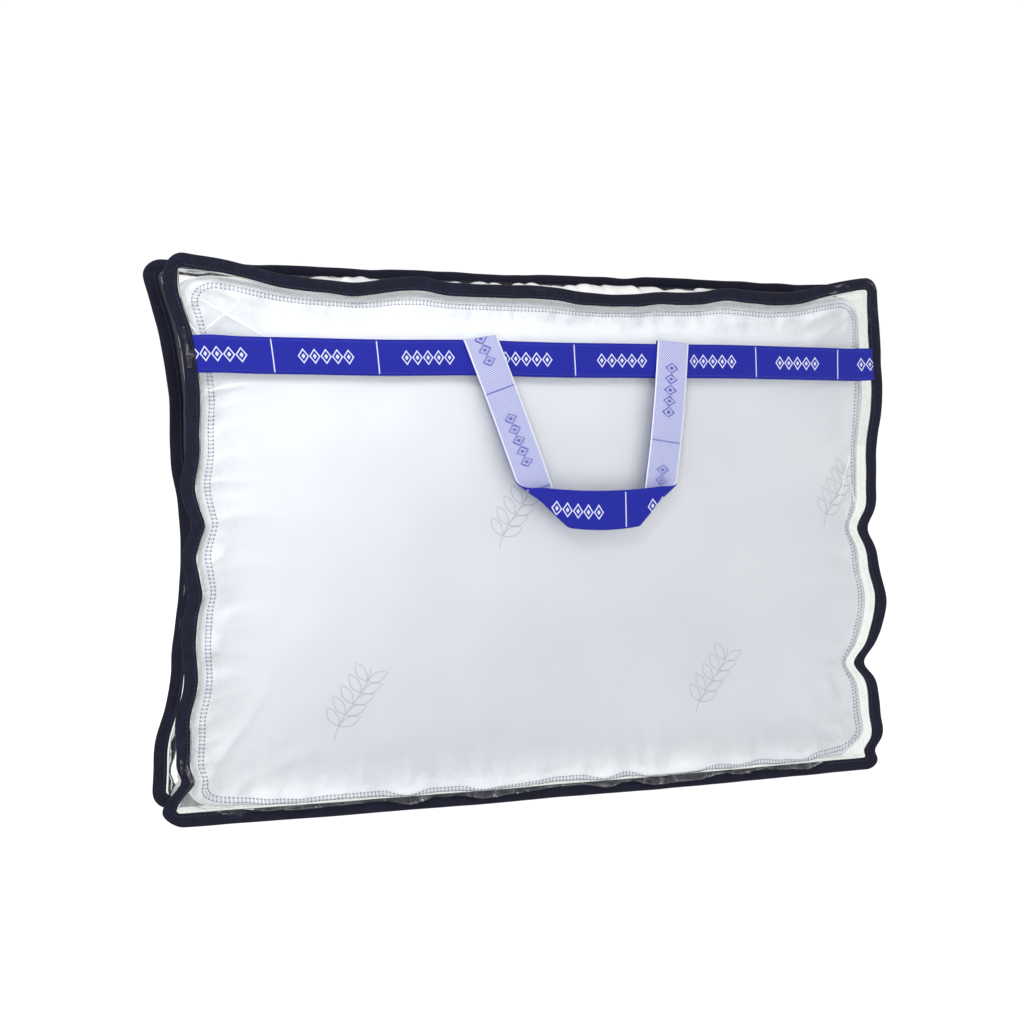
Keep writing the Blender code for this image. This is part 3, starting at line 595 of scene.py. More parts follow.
def clear_film(name, tint, haze, crease_scale, everywhere):
    """Clear glossy film, whitened along its creases by painted highlight lines.

    A strap's or panel's first coordinate is its distance from the seam; the
    creases crowd near it and die out over the pillow, unless everywhere.
    """
    n = Nodes(name)
    place = n.place()
    warp = n.node("ShaderNodeTexNoise", Scale=14.0, Detail=2.0)
    n.link(place, warp.inputs["Vector"])
    bent = n.node("ShaderNodeVectorMath", operation="MULTIPLY_ADD")
    n.link(warp.outputs["Color"], bent.inputs[0])
    bent.inputs[1].default_value = (0.05, 0.05, 0.05)
    n.link(place, bent.inputs[2])

    def cells(feature, scale):
        made = n.node("ShaderNodeTexVoronoi", feature=feature, Scale=scale)
        n.link(bent.outputs[0], made.inputs["Vector"])
        return made.outputs["Distance"]

    # Painted highlight: white lines along the cell edges, where the film's creases catch the
    # light.
    crease = n.grey(cells("DISTANCE_TO_EDGE", crease_scale), 1, 0, 0.0, 0.05)
    hair = n.grey(cells("DISTANCE_TO_EDGE", crease_scale * 2.7), 0.6, 0, 0.0, 0.06)
    lines = n.math("MAXIMUM", crease, hair)
    relief = n.math("ADD", cells("SMOOTH_F1", crease_scale),
                    n.math("MULTIPLY", n.noise(place, 60, 3), 0.3))
    if everywhere:
        amount = 1.0
    else:
        from_seam = n.node("ShaderNodeMapRange")
        n.link(n.axis(n.place(uv=True), 0), from_seam.inputs["Value"])
        from_seam.inputs["From Min"].default_value = 0.050
        from_seam.inputs["From Max"].default_value = 0.018
        amount = from_seam.outputs[0]
    lines = n.math("MULTIPLY", lines, amount)
    # Painted highlight lines along the listed straight creases, on the front only.
    for (x0, z0), (x1, z1), half in CREASE_HIGHLIGHTS:
        line = segment(n, place, x0, z0, x1, z1, half)
        lines = n.math("MAXIMUM", lines, n.math("MULTIPLY", line, 4.0))
    height = n.math("MULTIPLY", relief, n.math("MULTIPLY_ADD", amount, 0.95, 0.05))
    normal = n.bump(height, 0.5, 0.003)
    gloss = n.node("ShaderNodeBsdfGlossy", Roughness=0.16 if everywhere else 0.07,
                   Color=(1, 1, 1, 1))
    n.link(normal, gloss.inputs["Normal"])
    # White diffuse for the film's even haze and for the painted crease highlights.
    haze_and_highlight_white = n.node("ShaderNodeBsdfDiffuse", Color=(0.9, 0.92, 0.94, 1))
    through = n.node("ShaderNodeBsdfTransparent", Color=(*tint, 1))
    facing = n.node("ShaderNodeFresnel", IOR=1.30)
    n.link(normal, facing.inputs["Normal"])
    haze_and_painted_highlight = n.node("ShaderNodeMixShader")
    n.link(n.math("MULTIPLY_ADD", lines, 0.12, haze), haze_and_painted_highlight.inputs[0])
    n.link(through.outputs[0], haze_and_painted_highlight.inputs[1])
    n.link(haze_and_highlight_white.outputs[0], haze_and_painted_highlight.inputs[2])
    shine = n.node("ShaderNodeMixShader")
    n.link(facing.outputs[0], shine.inputs[0])
    n.link(haze_and_painted_highlight.outputs[0], shine.inputs[1])
    n.link(gloss.outputs[0], shine.inputs[2])
    n.link(shine.outputs[0], n.output.inputs["Surface"])
    n.tree.nodes.remove(n.shader)
    return n.mat


def segment(n, place, x0, z0, x1, z1, half):
    """1 on a straight line between two plan points in millimetres, 0 away from it."""
    length = math.hypot(x1 - x0, z1 - z0)
    tx, tz = (x1 - x0) / length, (z1 - z0) / length
    x = n.math("MULTIPLY_ADD", n.axis(place, 0), 1000.0, -x0)
    z = n.math("MULTIPLY_ADD", n.axis(place, 2), 1000.0, -z0)
    along = n.math("ADD", n.math("MULTIPLY", x, tx / length), n.math("MULTIPLY", z, tz / length))
    off = n.math("SUBTRACT", n.math("MULTIPLY", x, tz), n.math("MULTIPLY", z, tx))
    off = n.math("ABSOLUTE", off)
    # Thin at both ends.
    from_middle = n.math("ABSOLUTE", n.math("MULTIPLY_ADD", along, 2.0, -1.0))
    taper = n.math("SUBTRACT", 1.0, from_middle)
    in_front = n.math("LESS_THAN", n.axis(place, 1), 0.0)
    return n.math("MULTIPLY", in_front, n.math("LESS_THAN", off, n.math("MULTIPLY", taper, half)))


def enamel(name, dark, light, metallic):
    """Enamelled zinc or nylon: fine mottling and rubbed spots."""
    n = Nodes(name)
    place = n.place()
    grain = n.noise(place, 1300, 3, 0.6)
    colour = n.ramp(grain, [(0.3, dark), (0.8, light)])
    rough = n.grey(n.noise(place, 420, 3), 0.25, 0.5, 0.3, 0.75)
    return n.finish(colour, n.bump(grain, 0.15, 0.0001), rough, Metallic=metallic)


def floor_paint():
    n = Nodes("pale_floor")
    place = n.place()
    colour = n.ramp(n.noise(place, 3, 3), [(0.3, (0.39, 0.39, 0.393)), (0.7, (0.41, 0.41, 0.413))])
    return n.finish(colour, None, 0.9, Specular_IOR_Level=0.0,
                    Emission_Color=(1, 1, 1, 1), Emission_Strength=0.80)


FABRIC = case_fabric()
BINDING = ribbed_tape("navy_binding", (0.003, 0.0034, 0.010), (0.012, 0.013, 0.034))
ZIP_TAPE = ribbed_tape("navy_zip_tape", (0.004, 0.0045, 0.012), (0.02, 0.022, 0.046),
                       rib=0.0011, herringbone=True)
BLUE_FACE = webbing("webbing_blue_face", (0.009, 0.015, 0.36), (0.70, 0.73, 0.90), False)
LIGHT_FACE = webbing("webbing_light_reverse", (0.60, 0.62, 0.74), (0.02, 0.03, 0.36), True)
FILM = clear_film("clear_film", (0.985, 0.99, 0.985), 0.01, 42, False)
GUSSET_FILM = clear_film("clear_gusset_film", (0.80, 0.83, 0.79), 0.08, 48, True)
LADDER = thread("grey_ladder_thread", (0.22, 0.23, 0.30), (0.44, 0.46, 0.54))
BLUE_THREAD = thread("blue_thread", (0.01, 0.014, 0.22), (0.05, 0.06, 0.5))
NAVY_THREAD = thread("navy_thread", (0.008, 0.009, 0.02), (0.04, 0.045, 0.09))
PRINT = thread("pale_grey_print", (0.55, 0.57, 0.62), (0.66, 0.68, 0.73))
COIL = enamel("navy_nylon_coil", (0.006, 0.007, 0.018), (0.03, 0.033, 0.07), 0.0)
METAL = enamel("navy_slider_enamel", (0.012, 0.013, 0.03), (0.05, 0.055, 0.11), 0.55)


# ---------------------------------------------------------------- pillow

def pillow_mesh(step):
    """Closed, crowned case: front net, back net and the side strip between."""
    x, z = rounded_grid(PILLOW_HALF_W, PILLOW_HALF_H, PILLOW_CORNER, step)
    rows, cols = x.shape
    front = stack(x, cover_y(x, z, -1), z)
    back = stack(x, cover_y(x, z, 1), z)
    border = border_of(rows, cols)
    count = rows * cols
    faces = grid_faces(rows, cols)
    faces += [f[::-1] for f in grid_faces(rows, cols, start=count)]
    plan = stack(x, 0.0, z).reshape(-1, 3)[border]
    middle = np.array([0, 0, HALF_H])
    # The side strip swells a little between its two seams.
    rings = 9
    front_edge = front.reshape(-1, 3)[border]
    back_edge = back.reshape(-1, 3)[border]
    outward = np.roll(plan, -1, 0) - np.roll(plan, 1, 0)
    outward = np.stack([-outward[:, 2], np.zeros(len(plan)), outward[:, 0]], -1)
    outward /= np.linalg.norm(outward, axis=1, keepdims=True)
    outward *= np.sign(((plan - middle) * outward).sum(1))[:, None]
    strips = []
    for i in range(1, rings):
        t = i / rings
        puff = 4.5 * MM * math.sin(math.pi * t) ** 0.6
        strips.append(front_edge * (1 - t) + back_edge * t + outward * puff)
    vertices = np.concatenate([front.reshape(-1, 3), back.reshape(-1, 3), *strips])
    size = len(border)
    ids = [border] + [list(range(2 * count + i * size, 2 * count + (i + 1) * size))
                      for i in range(rings - 1)] + [[b + count for b in border]]
    for a, b in zip(ids, ids[1:]):
        for k in range(size):
            n = (k + 1) % size
            faces.append([a[k], b[k], b[n], a[n]])
    return vertices, faces, count


def seam_distance(p):
    """Distance in plan from the pillow's edge, positive inside it."""
    a = np.abs(p[:, 0]) - (PILLOW_HALF_W - PILLOW_CORNER)
    b = np.abs(p[:, 2] - HALF_H) - (PILLOW_HALF_H - PILLOW_CORNER)
    outside = np.hypot(np.maximum(a, 0), np.maximum(b, 0))
    inside = np.minimum(np.maximum(a, b), 0)
    return PILLOW_CORNER - (outside + inside)


def keep_inside(p, reach):
    """Holds the case's side strip within a reach of its seams, inside the gusset."""
    a = np.maximum(np.abs(p[:, 0]) - (PILLOW_HALF_W - PILLOW_CORNER), 0)
    b = np.maximum(np.abs(p[:, 2] - HALF_H) - (PILLOW_HALF_H - PILLOW_CORNER), 0)
    far = np.maximum(np.hypot(a, b), 1e-9)
    past = np.maximum(far - PILLOW_CORNER, 0)
    scale = (far - past + reach * np.tanh(past / reach)) / far
    out = p.copy()
    out[:, 0] -= np.sign(p[:, 0]) * a * (1 - scale)
    out[:, 2] -= np.sign(p[:, 2] - HALF_H) * b * (1 - scale)
    return out


def puckers(p, seed):
    """Gathers that run inward from the stitched edge, as a height."""
    inside = seam_distance(p)
    p = p + 9 * MM * stack(wander(p, (0.05, 1, 0.05), seed + 6), 0.0,
                           wander(p, (0.05, 1, 0.05), seed + 7))
    d_side = PILLOW_HALF_W - np.abs(p[:, 0])
    d_level = PILLOW_HALF_H - np.abs(p[:, 2] - HALF_H)
    level = smooth((d_side - d_level) / (50 * MM) + 0.5)
    across_side = wander(p, (0.075, 1, 0.013), seed) + 0.6 * wander(p, (0.04, 1, 0.0065), seed + 1)
    across_level = (wander(p, (0.013, 1, 0.075), seed + 2)
                    + 0.6 * wander(p, (0.0065, 1, 0.04), seed + 3))
    relief = level * across_level + (1 - level) * across_side
    past = np.maximum(inside - STITCH_LINE, 0)
    fade = np.exp(-past / (34 * MM)) * smooth(np.abs(inside - STITCH_LINE) / (9 * MM))
    return relief * fade


def simulate(obj, pinned, gathered, cap):
    """Inflates a case between its pinned seams and keeps the result."""
    rest = np.array([v.co for v in obj.data.vertices])
    for name, weights in (("seams", pinned), ("gathers", gathered)):
        group = obj.vertex_groups.new(name=name)
        for i, weight in weights:
            group.add([int(i)], float(weight), "REPLACE")
    cloth = obj.modifiers.new("cloth", "CLOTH")
    s = cloth.settings
    s.quality = 6
    s.mass = 0.25
    s.tension_stiffness = s.compression_stiffness = 18
    s.shear_stiffness = 8
    s.bending_stiffness = 0.35
    s.air_damping = 4
    s.use_pressure = True
    s.uniform_pressure_force = 4
    s.vertex_group_mass = "seams"
    s.pin_stiffness = 1.0
    s.vertex_group_shrink = "gathers"
    s.shrink_min = 0.0
    s.shrink_max = -0.26
    s.effector_weights.gravity = 0
    cloth.collision_settings.use_collision = False
    cloth.point_cache.frame_start, cloth.point_cache.frame_end = 1, 20
    scene = bpy.context.scene
    for number in range(1, 21):
        scene.frame_set(number)
    graph = bpy.context.evaluated_depsgraph_get()
    done = obj.evaluated_get(graph)
    moved = np.array([v.co for v in done.data.vertices])
    obj.modifiers.clear()
    obj.vertex_groups.clear()
    scene.frame_set(1)
    step = moved - rest
    length = np.linalg.norm(step, axis=1, keepdims=True)
    step *= np.minimum(1, cap / np.maximum(length, 1e-9))
    return rest + step


def make_pillow():
    """The case with its filling: inflated, gathered and pressed under the film."""
    vertices, faces, count = pillow_mesh(5.5 * MM)
    number = np.arange(len(vertices))
    faced = number < 2 * count        # not on the side strip
    side = np.where(number < count, -1.0, 1.0)
    inside = seam_distance(vertices)
    seeded = vertices.copy()
    seeded[:, 1] += np.where(faced, side * 1.1 * MM * puckers(vertices, 20), 0)
    pillow = make_piece("pillow", seeded, faces, FABRIC, body=None)
    near_stitch = np.exp(-((inside - STITCH_LINE) / (3.5 * MM)) ** 2)
    near_edge = np.exp(-(inside / (2.5 * MM)) ** 2)
    pin = np.where(faced, np.maximum(near_stitch, near_edge), 0)
    centre = smooth((inside - 95 * MM) / (60 * MM)) * faced
    pin = np.maximum(pin, centre * 0.6)
    gather = np.exp(-np.maximum(inside - STITCH_LINE, 0) / (45 * MM))
    gather = np.where(faced, gather, 0.35)
    pinned = [(i, w) for i, w in enumerate(pin) if w > 0.05]
    gathered = [(i, w) for i, w in enumerate(gather) if w > 0.02]
    shaped = simulate(pillow, pinned, gathered, 11 * MM)
    bpy.data.objects.remove(pillow)
    # The film presses the case flat where it would stand past it.
    limit = np.abs(film_y(shaped[:, 0], shaped[:, 2], 1)) - 1.2 * MM
    reach = np.abs(shaped[:, 1])
    pressed = limit - 1.5 * MM * np.log1p(np.exp(np.clip((limit - reach) / (1.5 * MM), -30, 30)))
    shaped[:, 1] = np.where(faced, np.sign(shaped[:, 1]) * pressed, shaped[:, 1])
    # A seam line at each edge and a shallow channel under the ladder stitch.
    channel = 0.9 * MM * np.exp(-((inside - STITCH_LINE) / (3.2 * MM)) ** 2)
    seam = 1.2 * MM * np.exp(-(inside / (2.2 * MM)) ** 2)
    shaped[:, 1] -= np.where(faced, side * (channel + seam), 0)
    # Valleys between the gathers, and long soft hollows further in.
    hollow = np.clip(0.65 + puckers(vertices, 20), 0, 2.2) * 4.6 * MM
    broad = (0.9 + wander(vertices, (0.11, 1, 0.045), 30)) * 2.2 * MM * smooth(inside / (30 * MM))
    broad = broad * np.exp(-inside / (110 * MM))
    shaped[:, 1] -= np.where(faced, side * (hollow * smooth(inside / (12 * MM)) + broad), 0)
    shaped = keep_inside(shaped, 1.3 * MM)
    pillow = make_piece("pillow", settle(slump(shaped)), faces, FABRIC, body=None)
    smoother = pillow.modifiers.new("smooth", "SUBSURF")
    smoother.levels = smoother.render_levels = 1
    graph = bpy.context.evaluated_depsgraph_get()
    mesh = bpy.data.meshes.new_from_object(pillow.evaluated_get(graph))
    pillow.modifiers.clear()
    pillow.data = mesh
    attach(pillow, "root")
    declare(pillow, "case_fabric",
            "fibre_fill", "pillow_front_cover", "pillow_back_cover", "pillow_gusset")
    return BVHTree.FromPolygons([v.co for v in mesh.vertices],
                                [p.vertices for p in mesh.polygons])


PILLOW_SURFACE = make_pillow()


def on_pillow(x, z, side, lift=0.0):
    """Point and normal on the finished case at a settled plan point."""
    hit, normal, _, _ = PILLOW_SURFACE.ray_cast(Vector((x, side, z)), Vector((0, -side, 0)))
    if hit is None:
        return None, None
    if normal.y * side < 0:
        normal = -normal
    return np.array(hit + normal * lift), np.array(normal)


def along_stitch(offset, spacing, side, lift):
    """Points on the case at an offset inside its edge, their normals and the way across."""
    size = (PILLOW_HALF_W - offset, PILLOW_HALF_H - offset, PILLOW_CORNER - offset)
    total = outline_length(*size)
    count = round(total / spacing)
    x, z, _, _ = outline(np.arange(count) * total / count, *size)
    settled = settle(slump(stack(x, cover_y(x, z, side), z)))
    near_side = HALF_W - abs(x) < HALF_H - abs(z - HALF_H)
    return [(*on_pillow(px, pz, side, lift), (1, 0, 0) if level else (0, 0, 1))
            for (px, _, pz), level in zip(settled, near_side)]


def make_ladder(name, node, side):
    """Ladder hem-stitch: two rows of stitches and the rungs between them."""
    pitch = 3.4 * MM
    places = []
    for offset in (LADDER_OFFSET + 0.8 * MM, LADDER_OFFSET + LADDER_WIDTH - 0.8 * MM):
        row = along_stitch(offset, pitch, side, 0.05 * MM)
        for (spot, up, _), (ahead, _, _) in zip(row, row[1:] + row[:1]):
            if spot is not None and ahead is not None:
                places.append((spot, ahead - spot, up))
    ladder = stitches(name, places, 2.5 * MM, 1.25 * MM, 0.45 * MM, LADDER)
    declare(ladder, "hem_stitch", node)
    row = along_stitch(STITCH_LINE, pitch, side, 0.02 * MM)
    rungs = [(spot, across, up) for spot, up, across in row if spot is not None]
    made = stitches(name + "_rungs", rungs, 3.6 * MM, 0.55 * MM, 0.25 * MM, LADDER)
    declare(made, "hem_stitch")


make_ladder("ladder_stitch_front", "pillow_front_hem_stitch", -1)
make_ladder("ladder_stitch_back", "pillow_back_hem_stitch", 1)


def make_sprigs():
    """A pale printed leaf sprig, repeated on the front of the case."""
    centres = [(-0.045, 0.262), (-0.195, 0.098), (0.160, 0.100), (0.303, 0.275)]
    lean = math.radians(18)
    lines = []
    stem = [-0.034 + 0.068 * t / 20 for t in range(21)]
    lines.append([(0.006 * math.sin(z * 60), z) for z in stem])
    for k in range(5):
        foot = -0.022 + 0.011 * k
        for hand in (-1, 1):
            leaf = []
            for i in range(15):
                t = i / 14 * 2 - 1
                run = 1 - abs(t)
                bow = 0.0042 * math.sin(math.pi * run) * (1 if t > 0 else -1)
                out, up = hand * 0.016 * run, foot + 0.013 * run
                leaf.append((0.006 * math.sin(foot * 60) + out - hand * bow * 0.6, up + bow * 0.8))
            lines.append(leaf)
    vertices, faces = [], []
    half = 0.35 * MM
    for cx, cz in centres:
        for line in lines:
            turned = [(cx + x * math.cos(lean) + z * math.sin(lean),
                       cz - x * math.sin(lean) + z * math.cos(lean)) for x, z in line]
            for i, (x, z) in enumerate(turned):
                bx, bz = turned[max(i - 1, 0)]
                ax, az = turned[min(i + 1, len(turned) - 1)]
                run = math.hypot(ax - bx, az - bz) or 1.0
                px, pz = -(az - bz) / run * half, (ax - bx) / run * half
                a, _ = on_pillow(x + px, z + pz, -1, 0.12 * MM)
                b, _ = on_pillow(x - px, z - pz, -1, 0.12 * MM)
                vertices += [a, b]
                if i:
                    n = len(vertices)
                    faces.append([n - 4, n - 3, n - 1, n - 2])
    declare(make_piece("printed_sprigs", np.array(vertices), faces, PRINT), "case_fabric")


make_sprigs()


# ---------------------------------------------------------------- film

def film_relief(x, z, side):
    """Creases of a panel's film, outward as positive."""
    p = stack(x, 0.0, z)
    edge = edge_distance(x, z) - WALL_INSET
    d_side, d_level = HALF_W - abs(x), HALF_H - abs(z - HALF_H)
    level = smooth((d_side - d_level) / (40 * MM) + 0.5)
    seed = 40 if side < 0 else 60
    across_side = 1 - np.abs(wander(p, (0.05, 1, 0.011), seed)) * 2
    across_level = 1 - np.abs(wander(p, (0.011, 1, 0.05), seed + 1)) * 2
    gathers = level * across_level + (1 - level) * across_side
    border = smooth(edge / (6 * MM)) * np.exp(-np.maximum(edge, 0) / (15 * MM))
    relief = 2.0 * MM * gathers * border
    # Straight tension creases that fan out from the corners.
    for sign_x in (-1, 1):
        for sign_z in (-1, 1):
            dx = (HALF_W - WALL_INSET) - sign_x * x
            dz = (HALF_H - WALL_INSET) - sign_z * (z - HALF_H)
            far = np.hypot(dx, dz)
            angle = np.arctan2(dz, dx)
            corner = seed + 5 + sign_x * 2 + sign_z
            fan = wander(stack(angle, far * 0.9, 0 * far), (0.16, 0.11, 1), corner)
            ridge = np.maximum(0, 1 - np.abs(fan) * 3.2) ** 1.5
            near = smooth(far / (25 * MM)) * np.exp(-(far / (95 * MM)) ** 2)
            relief = relief + 1.7 * MM * ridge * near
    relief = relief + 0.35 * MM * wander(p, (0.05, 1, 0.04), seed + 9) * smooth(edge / (20 * MM))
    return relief


def panel_y(x, z, side):
    """Middle of a panel's creased film."""
    return film_y(x, z, side) + side * film_relief(x, z, side)


def make_panel(name, side):
    inset = 3 * MM
    x, z = rounded_grid(HALF_W - inset, HALF_H - inset, CORNER_RADIUS - inset, 3.6 * MM)
    mid = settle(slump(stack(x, panel_y(x, z, side), z)))
    faces = grid_faces(*x.shape)
    if side > 0:
        faces = [f[::-1] for f in faces]
    uv = np.stack([edge_distance(x, z), x + z], -1)
    panel = make_piece(name, mid, faces, FILM, uv)
    declare(panel, "clear_film", "bag_front_panel" if side < 0 else "bag_back_panel",
            flat=(2 * HALF_W - 2 * inset, BAG_H - 2 * inset), held="stretched",
            rests_on=["pillow"])


make_panel("front_film", -1)
make_panel("back_film", 1)


def cross_run(name, s, profile, mat, slot, node, under, wrinkle=0.0, seed=0):
    """Carries an open profile of (inset, y) points along a part of the outline."""
    inset, y = np.array(profile).T
    grid_inset = np.broadcast_to(inset[None, :], (len(s), len(inset))).copy()
    grid_y = np.broadcast_to(y[None, :], grid_inset.shape).copy()
    if wrinkle:
        free = smooth((HALF_D - np.abs(grid_y)) / (14 * MM)) * (grid_inset > WALL_INSET - 1 * MM)
        q = stack(np.broadcast_to(s[:, None], grid_y.shape), grid_y, 0 * grid_y)
        creases = (wander(q, (0.02, 0.035, 1), seed)
                   + 0.9 * (1 - 2 * np.abs(wander(q, (0.013, 0.05, 1), seed + 1)))
                   + 0.5 * wander(q, (0.007, 0.018, 1), seed + 2))
        grid_inset += free * wrinkle * (creases - 0.9)
    mid = settle(swept(s, grid_inset, grid_y))
    width = run_length(inset, y)
    uv = stack(s[:, None], width[None, :], 0.0)[..., :2]
    piece = make_piece(name, mid, grid_faces(*mid.shape[:2]), mat, uv)
    declare(piece, slot, node, flat=(width[-1], s[-1] - s[0]), held="stretched", rests_on=[under])


FLANGE = [4 * MM, 7 * MM, 10 * MM]   # insets of the part sewn into a binding


def film_profile(y_low, y_high, flange_high):
    """Gusset section: the wall, with a flange into the binding at an end."""
    count = round((y_high - y_low) / (3.4 * MM))
    points = [(inset, y_low) for inset in FLANGE]
    points += [(WALL_INSET, y_low + (y_high - y_low) * k / count) for k in range(count + 1)]
    if flange_high:
        points += [(inset, y_high) for inset in FLANGE[::-1]]
    return points


def make_gussets():
    s = np.linspace(s_top(ZIP_RIGHT_END), RIM_LENGTH + s_left(ZIP_LOW_END), 420)
    cross_run("gusset_film", s, film_profile(-FLANGE_Y, FLANGE_Y, True), GUSSET_FILM,
              "clear_film", "bag_gusset", "front_binding_tape", 1.9 * MM, 80)
    s = np.linspace(s_left(ZIP_LOW_END), s_top(ZIP_RIGHT_END), 300)
    cross_run("zip_side_film", s, film_profile(-FLANGE_Y, 12 * MM, False), GUSSET_FILM,
              "clear_film", "zip_clear_strip", "front_zip_tape", 1.3 * MM, 90)


make_gussets()


# ---------------------------------------------------------------- bindings

# Half of the folded tape's section, in millimetres: inset and depth from the seam's plane.
HALF_SECTION = [(12.0, 0.55), (12.1, 1.2), (11.6, 1.55), (10.6, 1.6), (9.7, 1.2), (8.8, 1.62),
                (6.5, 1.8), (4.0, 1.85), (2.0, 1.7), (0.8, 1.3), (0.2, 0.7), (0.0, 0.0)]


def make_binding(side):
    word = "front" if side < 0 else "back"
    profile = [(i, -d) for i, d in HALF_SECTION] + HALF_SECTION[-2::-1]
    count = 700
    s = np.arange(count + 1) * RIM_LENGTH / count
    inset, depth = np.array(profile).T * MM
    x, z, _, _ = rim(s)
    around = stack(x, side * HALF_D, z)
    seed = 100 if side < 0 else 120
    # The flange leans and flutes a little along its length.
    lean = (0.16 * wander(around, (0.07, 1, 0.06), seed)
            + 0.09 * wander(around, (0.022, 1, 0.02), seed + 1))
    lean = lean * smooth((z - 2 * MM) / (30 * MM) + 0.35)
    puff = 1 + 0.28 * wander(around, (0.014, 1, 0.014), seed + 2)
    reach = BINDING_WIDTH - inset[None, :]
    flat = depth[None, :] * puff[:, None]
    out = inset[None, :] + 0 * flat
    y = side * HALF_D + flat + np.sin(lean)[:, None] * reach
    out = out + (1 - np.cos(lean))[:, None] * reach
    mid = settle(swept(s, out, y))
    mid[..., 2] = np.maximum(mid[..., 2], 0.3 * MM)
    mid[-1] = mid[0]
    width = run_length(inset, depth)
    uv = stack(s[:, None], width[None, :], 0.0)[..., :2]
    piece = make_piece(f"{word}_binding_tape", mid, grid_faces(*mid.shape[:2]), BINDING, uv)
    declare(piece, "binding_tape", f"{word}_binding",
            flat=(width[-1], RIM_LENGTH), held="folded", rests_on=[f"{word}_film"])
    places = []
    for column, up_sign in ((4, -1), (len(profile) - 5, 1)):
        line = mid[:, column]
        run = run_length(*line.T)
        for at in np.arange(1 * MM, run[-1] - 2 * MM, 3.6 * MM):
            point = np.array([np.interp(at, run, line[:, k]) for k in range(3)])
            ahead = np.array([np.interp(at + 1 * MM, run, line[:, k]) for k in range(3)])
            places.append((point, ahead - point, (0, up_sign, 0)))
    sewn = stitches(f"{word}_binding_stitch", places, 2.7 * MM, 0.6 * MM, 0.35 * MM, NAVY_THREAD)
    declare(sewn, "binding_tape")


make_binding(-1)
make_binding(1)


# ---------------------------------------------------------------- zip

def make_zip():
    s = np.linspace(s_left(ZIP_LOW_END), s_top(ZIP_RIGHT_END), 340)
    front = [(TAPE_INSET, y * MM) for y in (8, 9, 11, 13, 15, 17, 19, 20.5, 22)]
    cross_run("front_zip_tape", s, front, ZIP_TAPE, "zip_tape", "zip_front_tape", "zip_side_film")
    back = [(TAPE_INSET, y * MM) for y in (24, 26, 28, 30, 32, 34, 36, 38)]
    back += [(inset, FLANGE_Y) for inset in (TAPE_INSET, *FLANGE[::-1])]
    cross_run("back_zip_tape", s, back, ZIP_TAPE, "zip_tape", "zip_back_tape", "back_film")

    start, end = s_left(ZIP_LOW_END + HALF_TAB), s_top(ZIP_RIGHT_END - HALF_TAB)
    for name, node, sign in (("front_zip_coil", "zip_front_coil", -1),
                             ("back_zip_coil", "zip_back_coil", 1)):
        at = np.arange(start + (0.8 * MM if sign > 0 else 0), end, 1.6 * MM)
        x, z, nx, nz = rim(at)
        vertices, faces = [], []
        # Each turn of the coil is a low arch across the tape's edge.
        arch = [(2.5, 0.0), (2.3, 0.8), (1.8, 1.25), (1.2, 1.3), (0.7, 0.95), (0.5, 0.3)]
        for k in range(len(at)):
            tangent = np.array((nz[k], 0, -nx[k]))
            out = np.array((nx[k], 0, nz[k]))
            foot = np.array((x[k], 0, z[k])) - out * (TAPE_INSET - 0.3 * MM)
            first = len(vertices)
            for y, h in arch:
                centre = foot + out * (h * MM) + np.array((0, ZIP_Y + sign * y * MM, 0))
                for j in range(5):
                    angle = 2 * math.pi * j / 5
                    radius = 0.42 * MM
                    vertices.append(centre + tangent * math.cos(angle) * radius
                                    + out * math.sin(angle) * radius * 0.6)
            faces += grid_faces(len(arch), 5, wrap_cols=True, start=first)
            faces.append([first + j for j in range(5)])
            faces.append([first + (len(arch) - 1) * 5 + j for j in range(5)])
        declare(make_piece(name, settle(np.array(vertices)), faces, COIL), "zip_coil", node)


make_zip()


def make_end_tab(name, node, s_mid):
    """Folded tab with rounded ends over an end of the zip."""
    rows, cols = 13, 15
    along = np.linspace(-1, 1, rows)
    across = np.linspace(-1, 1, cols)
    low, high = 7.7 * MM, 36.9 * MM
    s = s_mid + along * HALF_TAB
    half_y = (high - low) / 2
    # Shorter towards its two sides, so its ends are round.
    squeeze = (1 - 0.35 * np.abs(along) ** 4)[:, None]
    y = (low + high) / 2 + across[None, :] * half_y * squeeze
    dome = (1 - np.abs(along) ** 6)[:, None] * (1 - np.abs(across) ** 6)[None, :]
    inset = TAPE_INSET - 1.2 * MM - 0.9 * MM * dome
    tab = strap(name, settle(swept(s, inset, y)), s, across * half_y, 1.0 * MM, [BINDING])
    declare(tab, "binding_tape", node,
            flat=(high - low, 2 * HALF_TAB), held="folded", rests_on=["front_zip_tape"])


make_end_tab("zip_end_patch_left", "zip_end_tab_left", s_left(ZIP_LOW_END))
make_end_tab("zip_end_patch_right", "zip_end_tab_right", s_top(ZIP_RIGHT_END))

for node_name in ("zip_slider", "zip_pull_tab"):
    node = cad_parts[node_name]
    node.data.materials.clear()
    node.data.materials.append(METAL)
    declare(node, "slider_metal")


# ---------------------------------------------------------------- webbing band

def tail_lift(x):
    """How far the band stands off the film, to pass over the handle's tails."""
    near = np.minimum(abs(x - LEG_TOPS[0]), abs(x - LEG_TOPS[1]))
    over = smooth((WEBBING_WIDTH / 2 + 14 * MM - near) / (14 * MM))
    return 0.6 * MM + over * (WEBBING + 0.45 * MM)


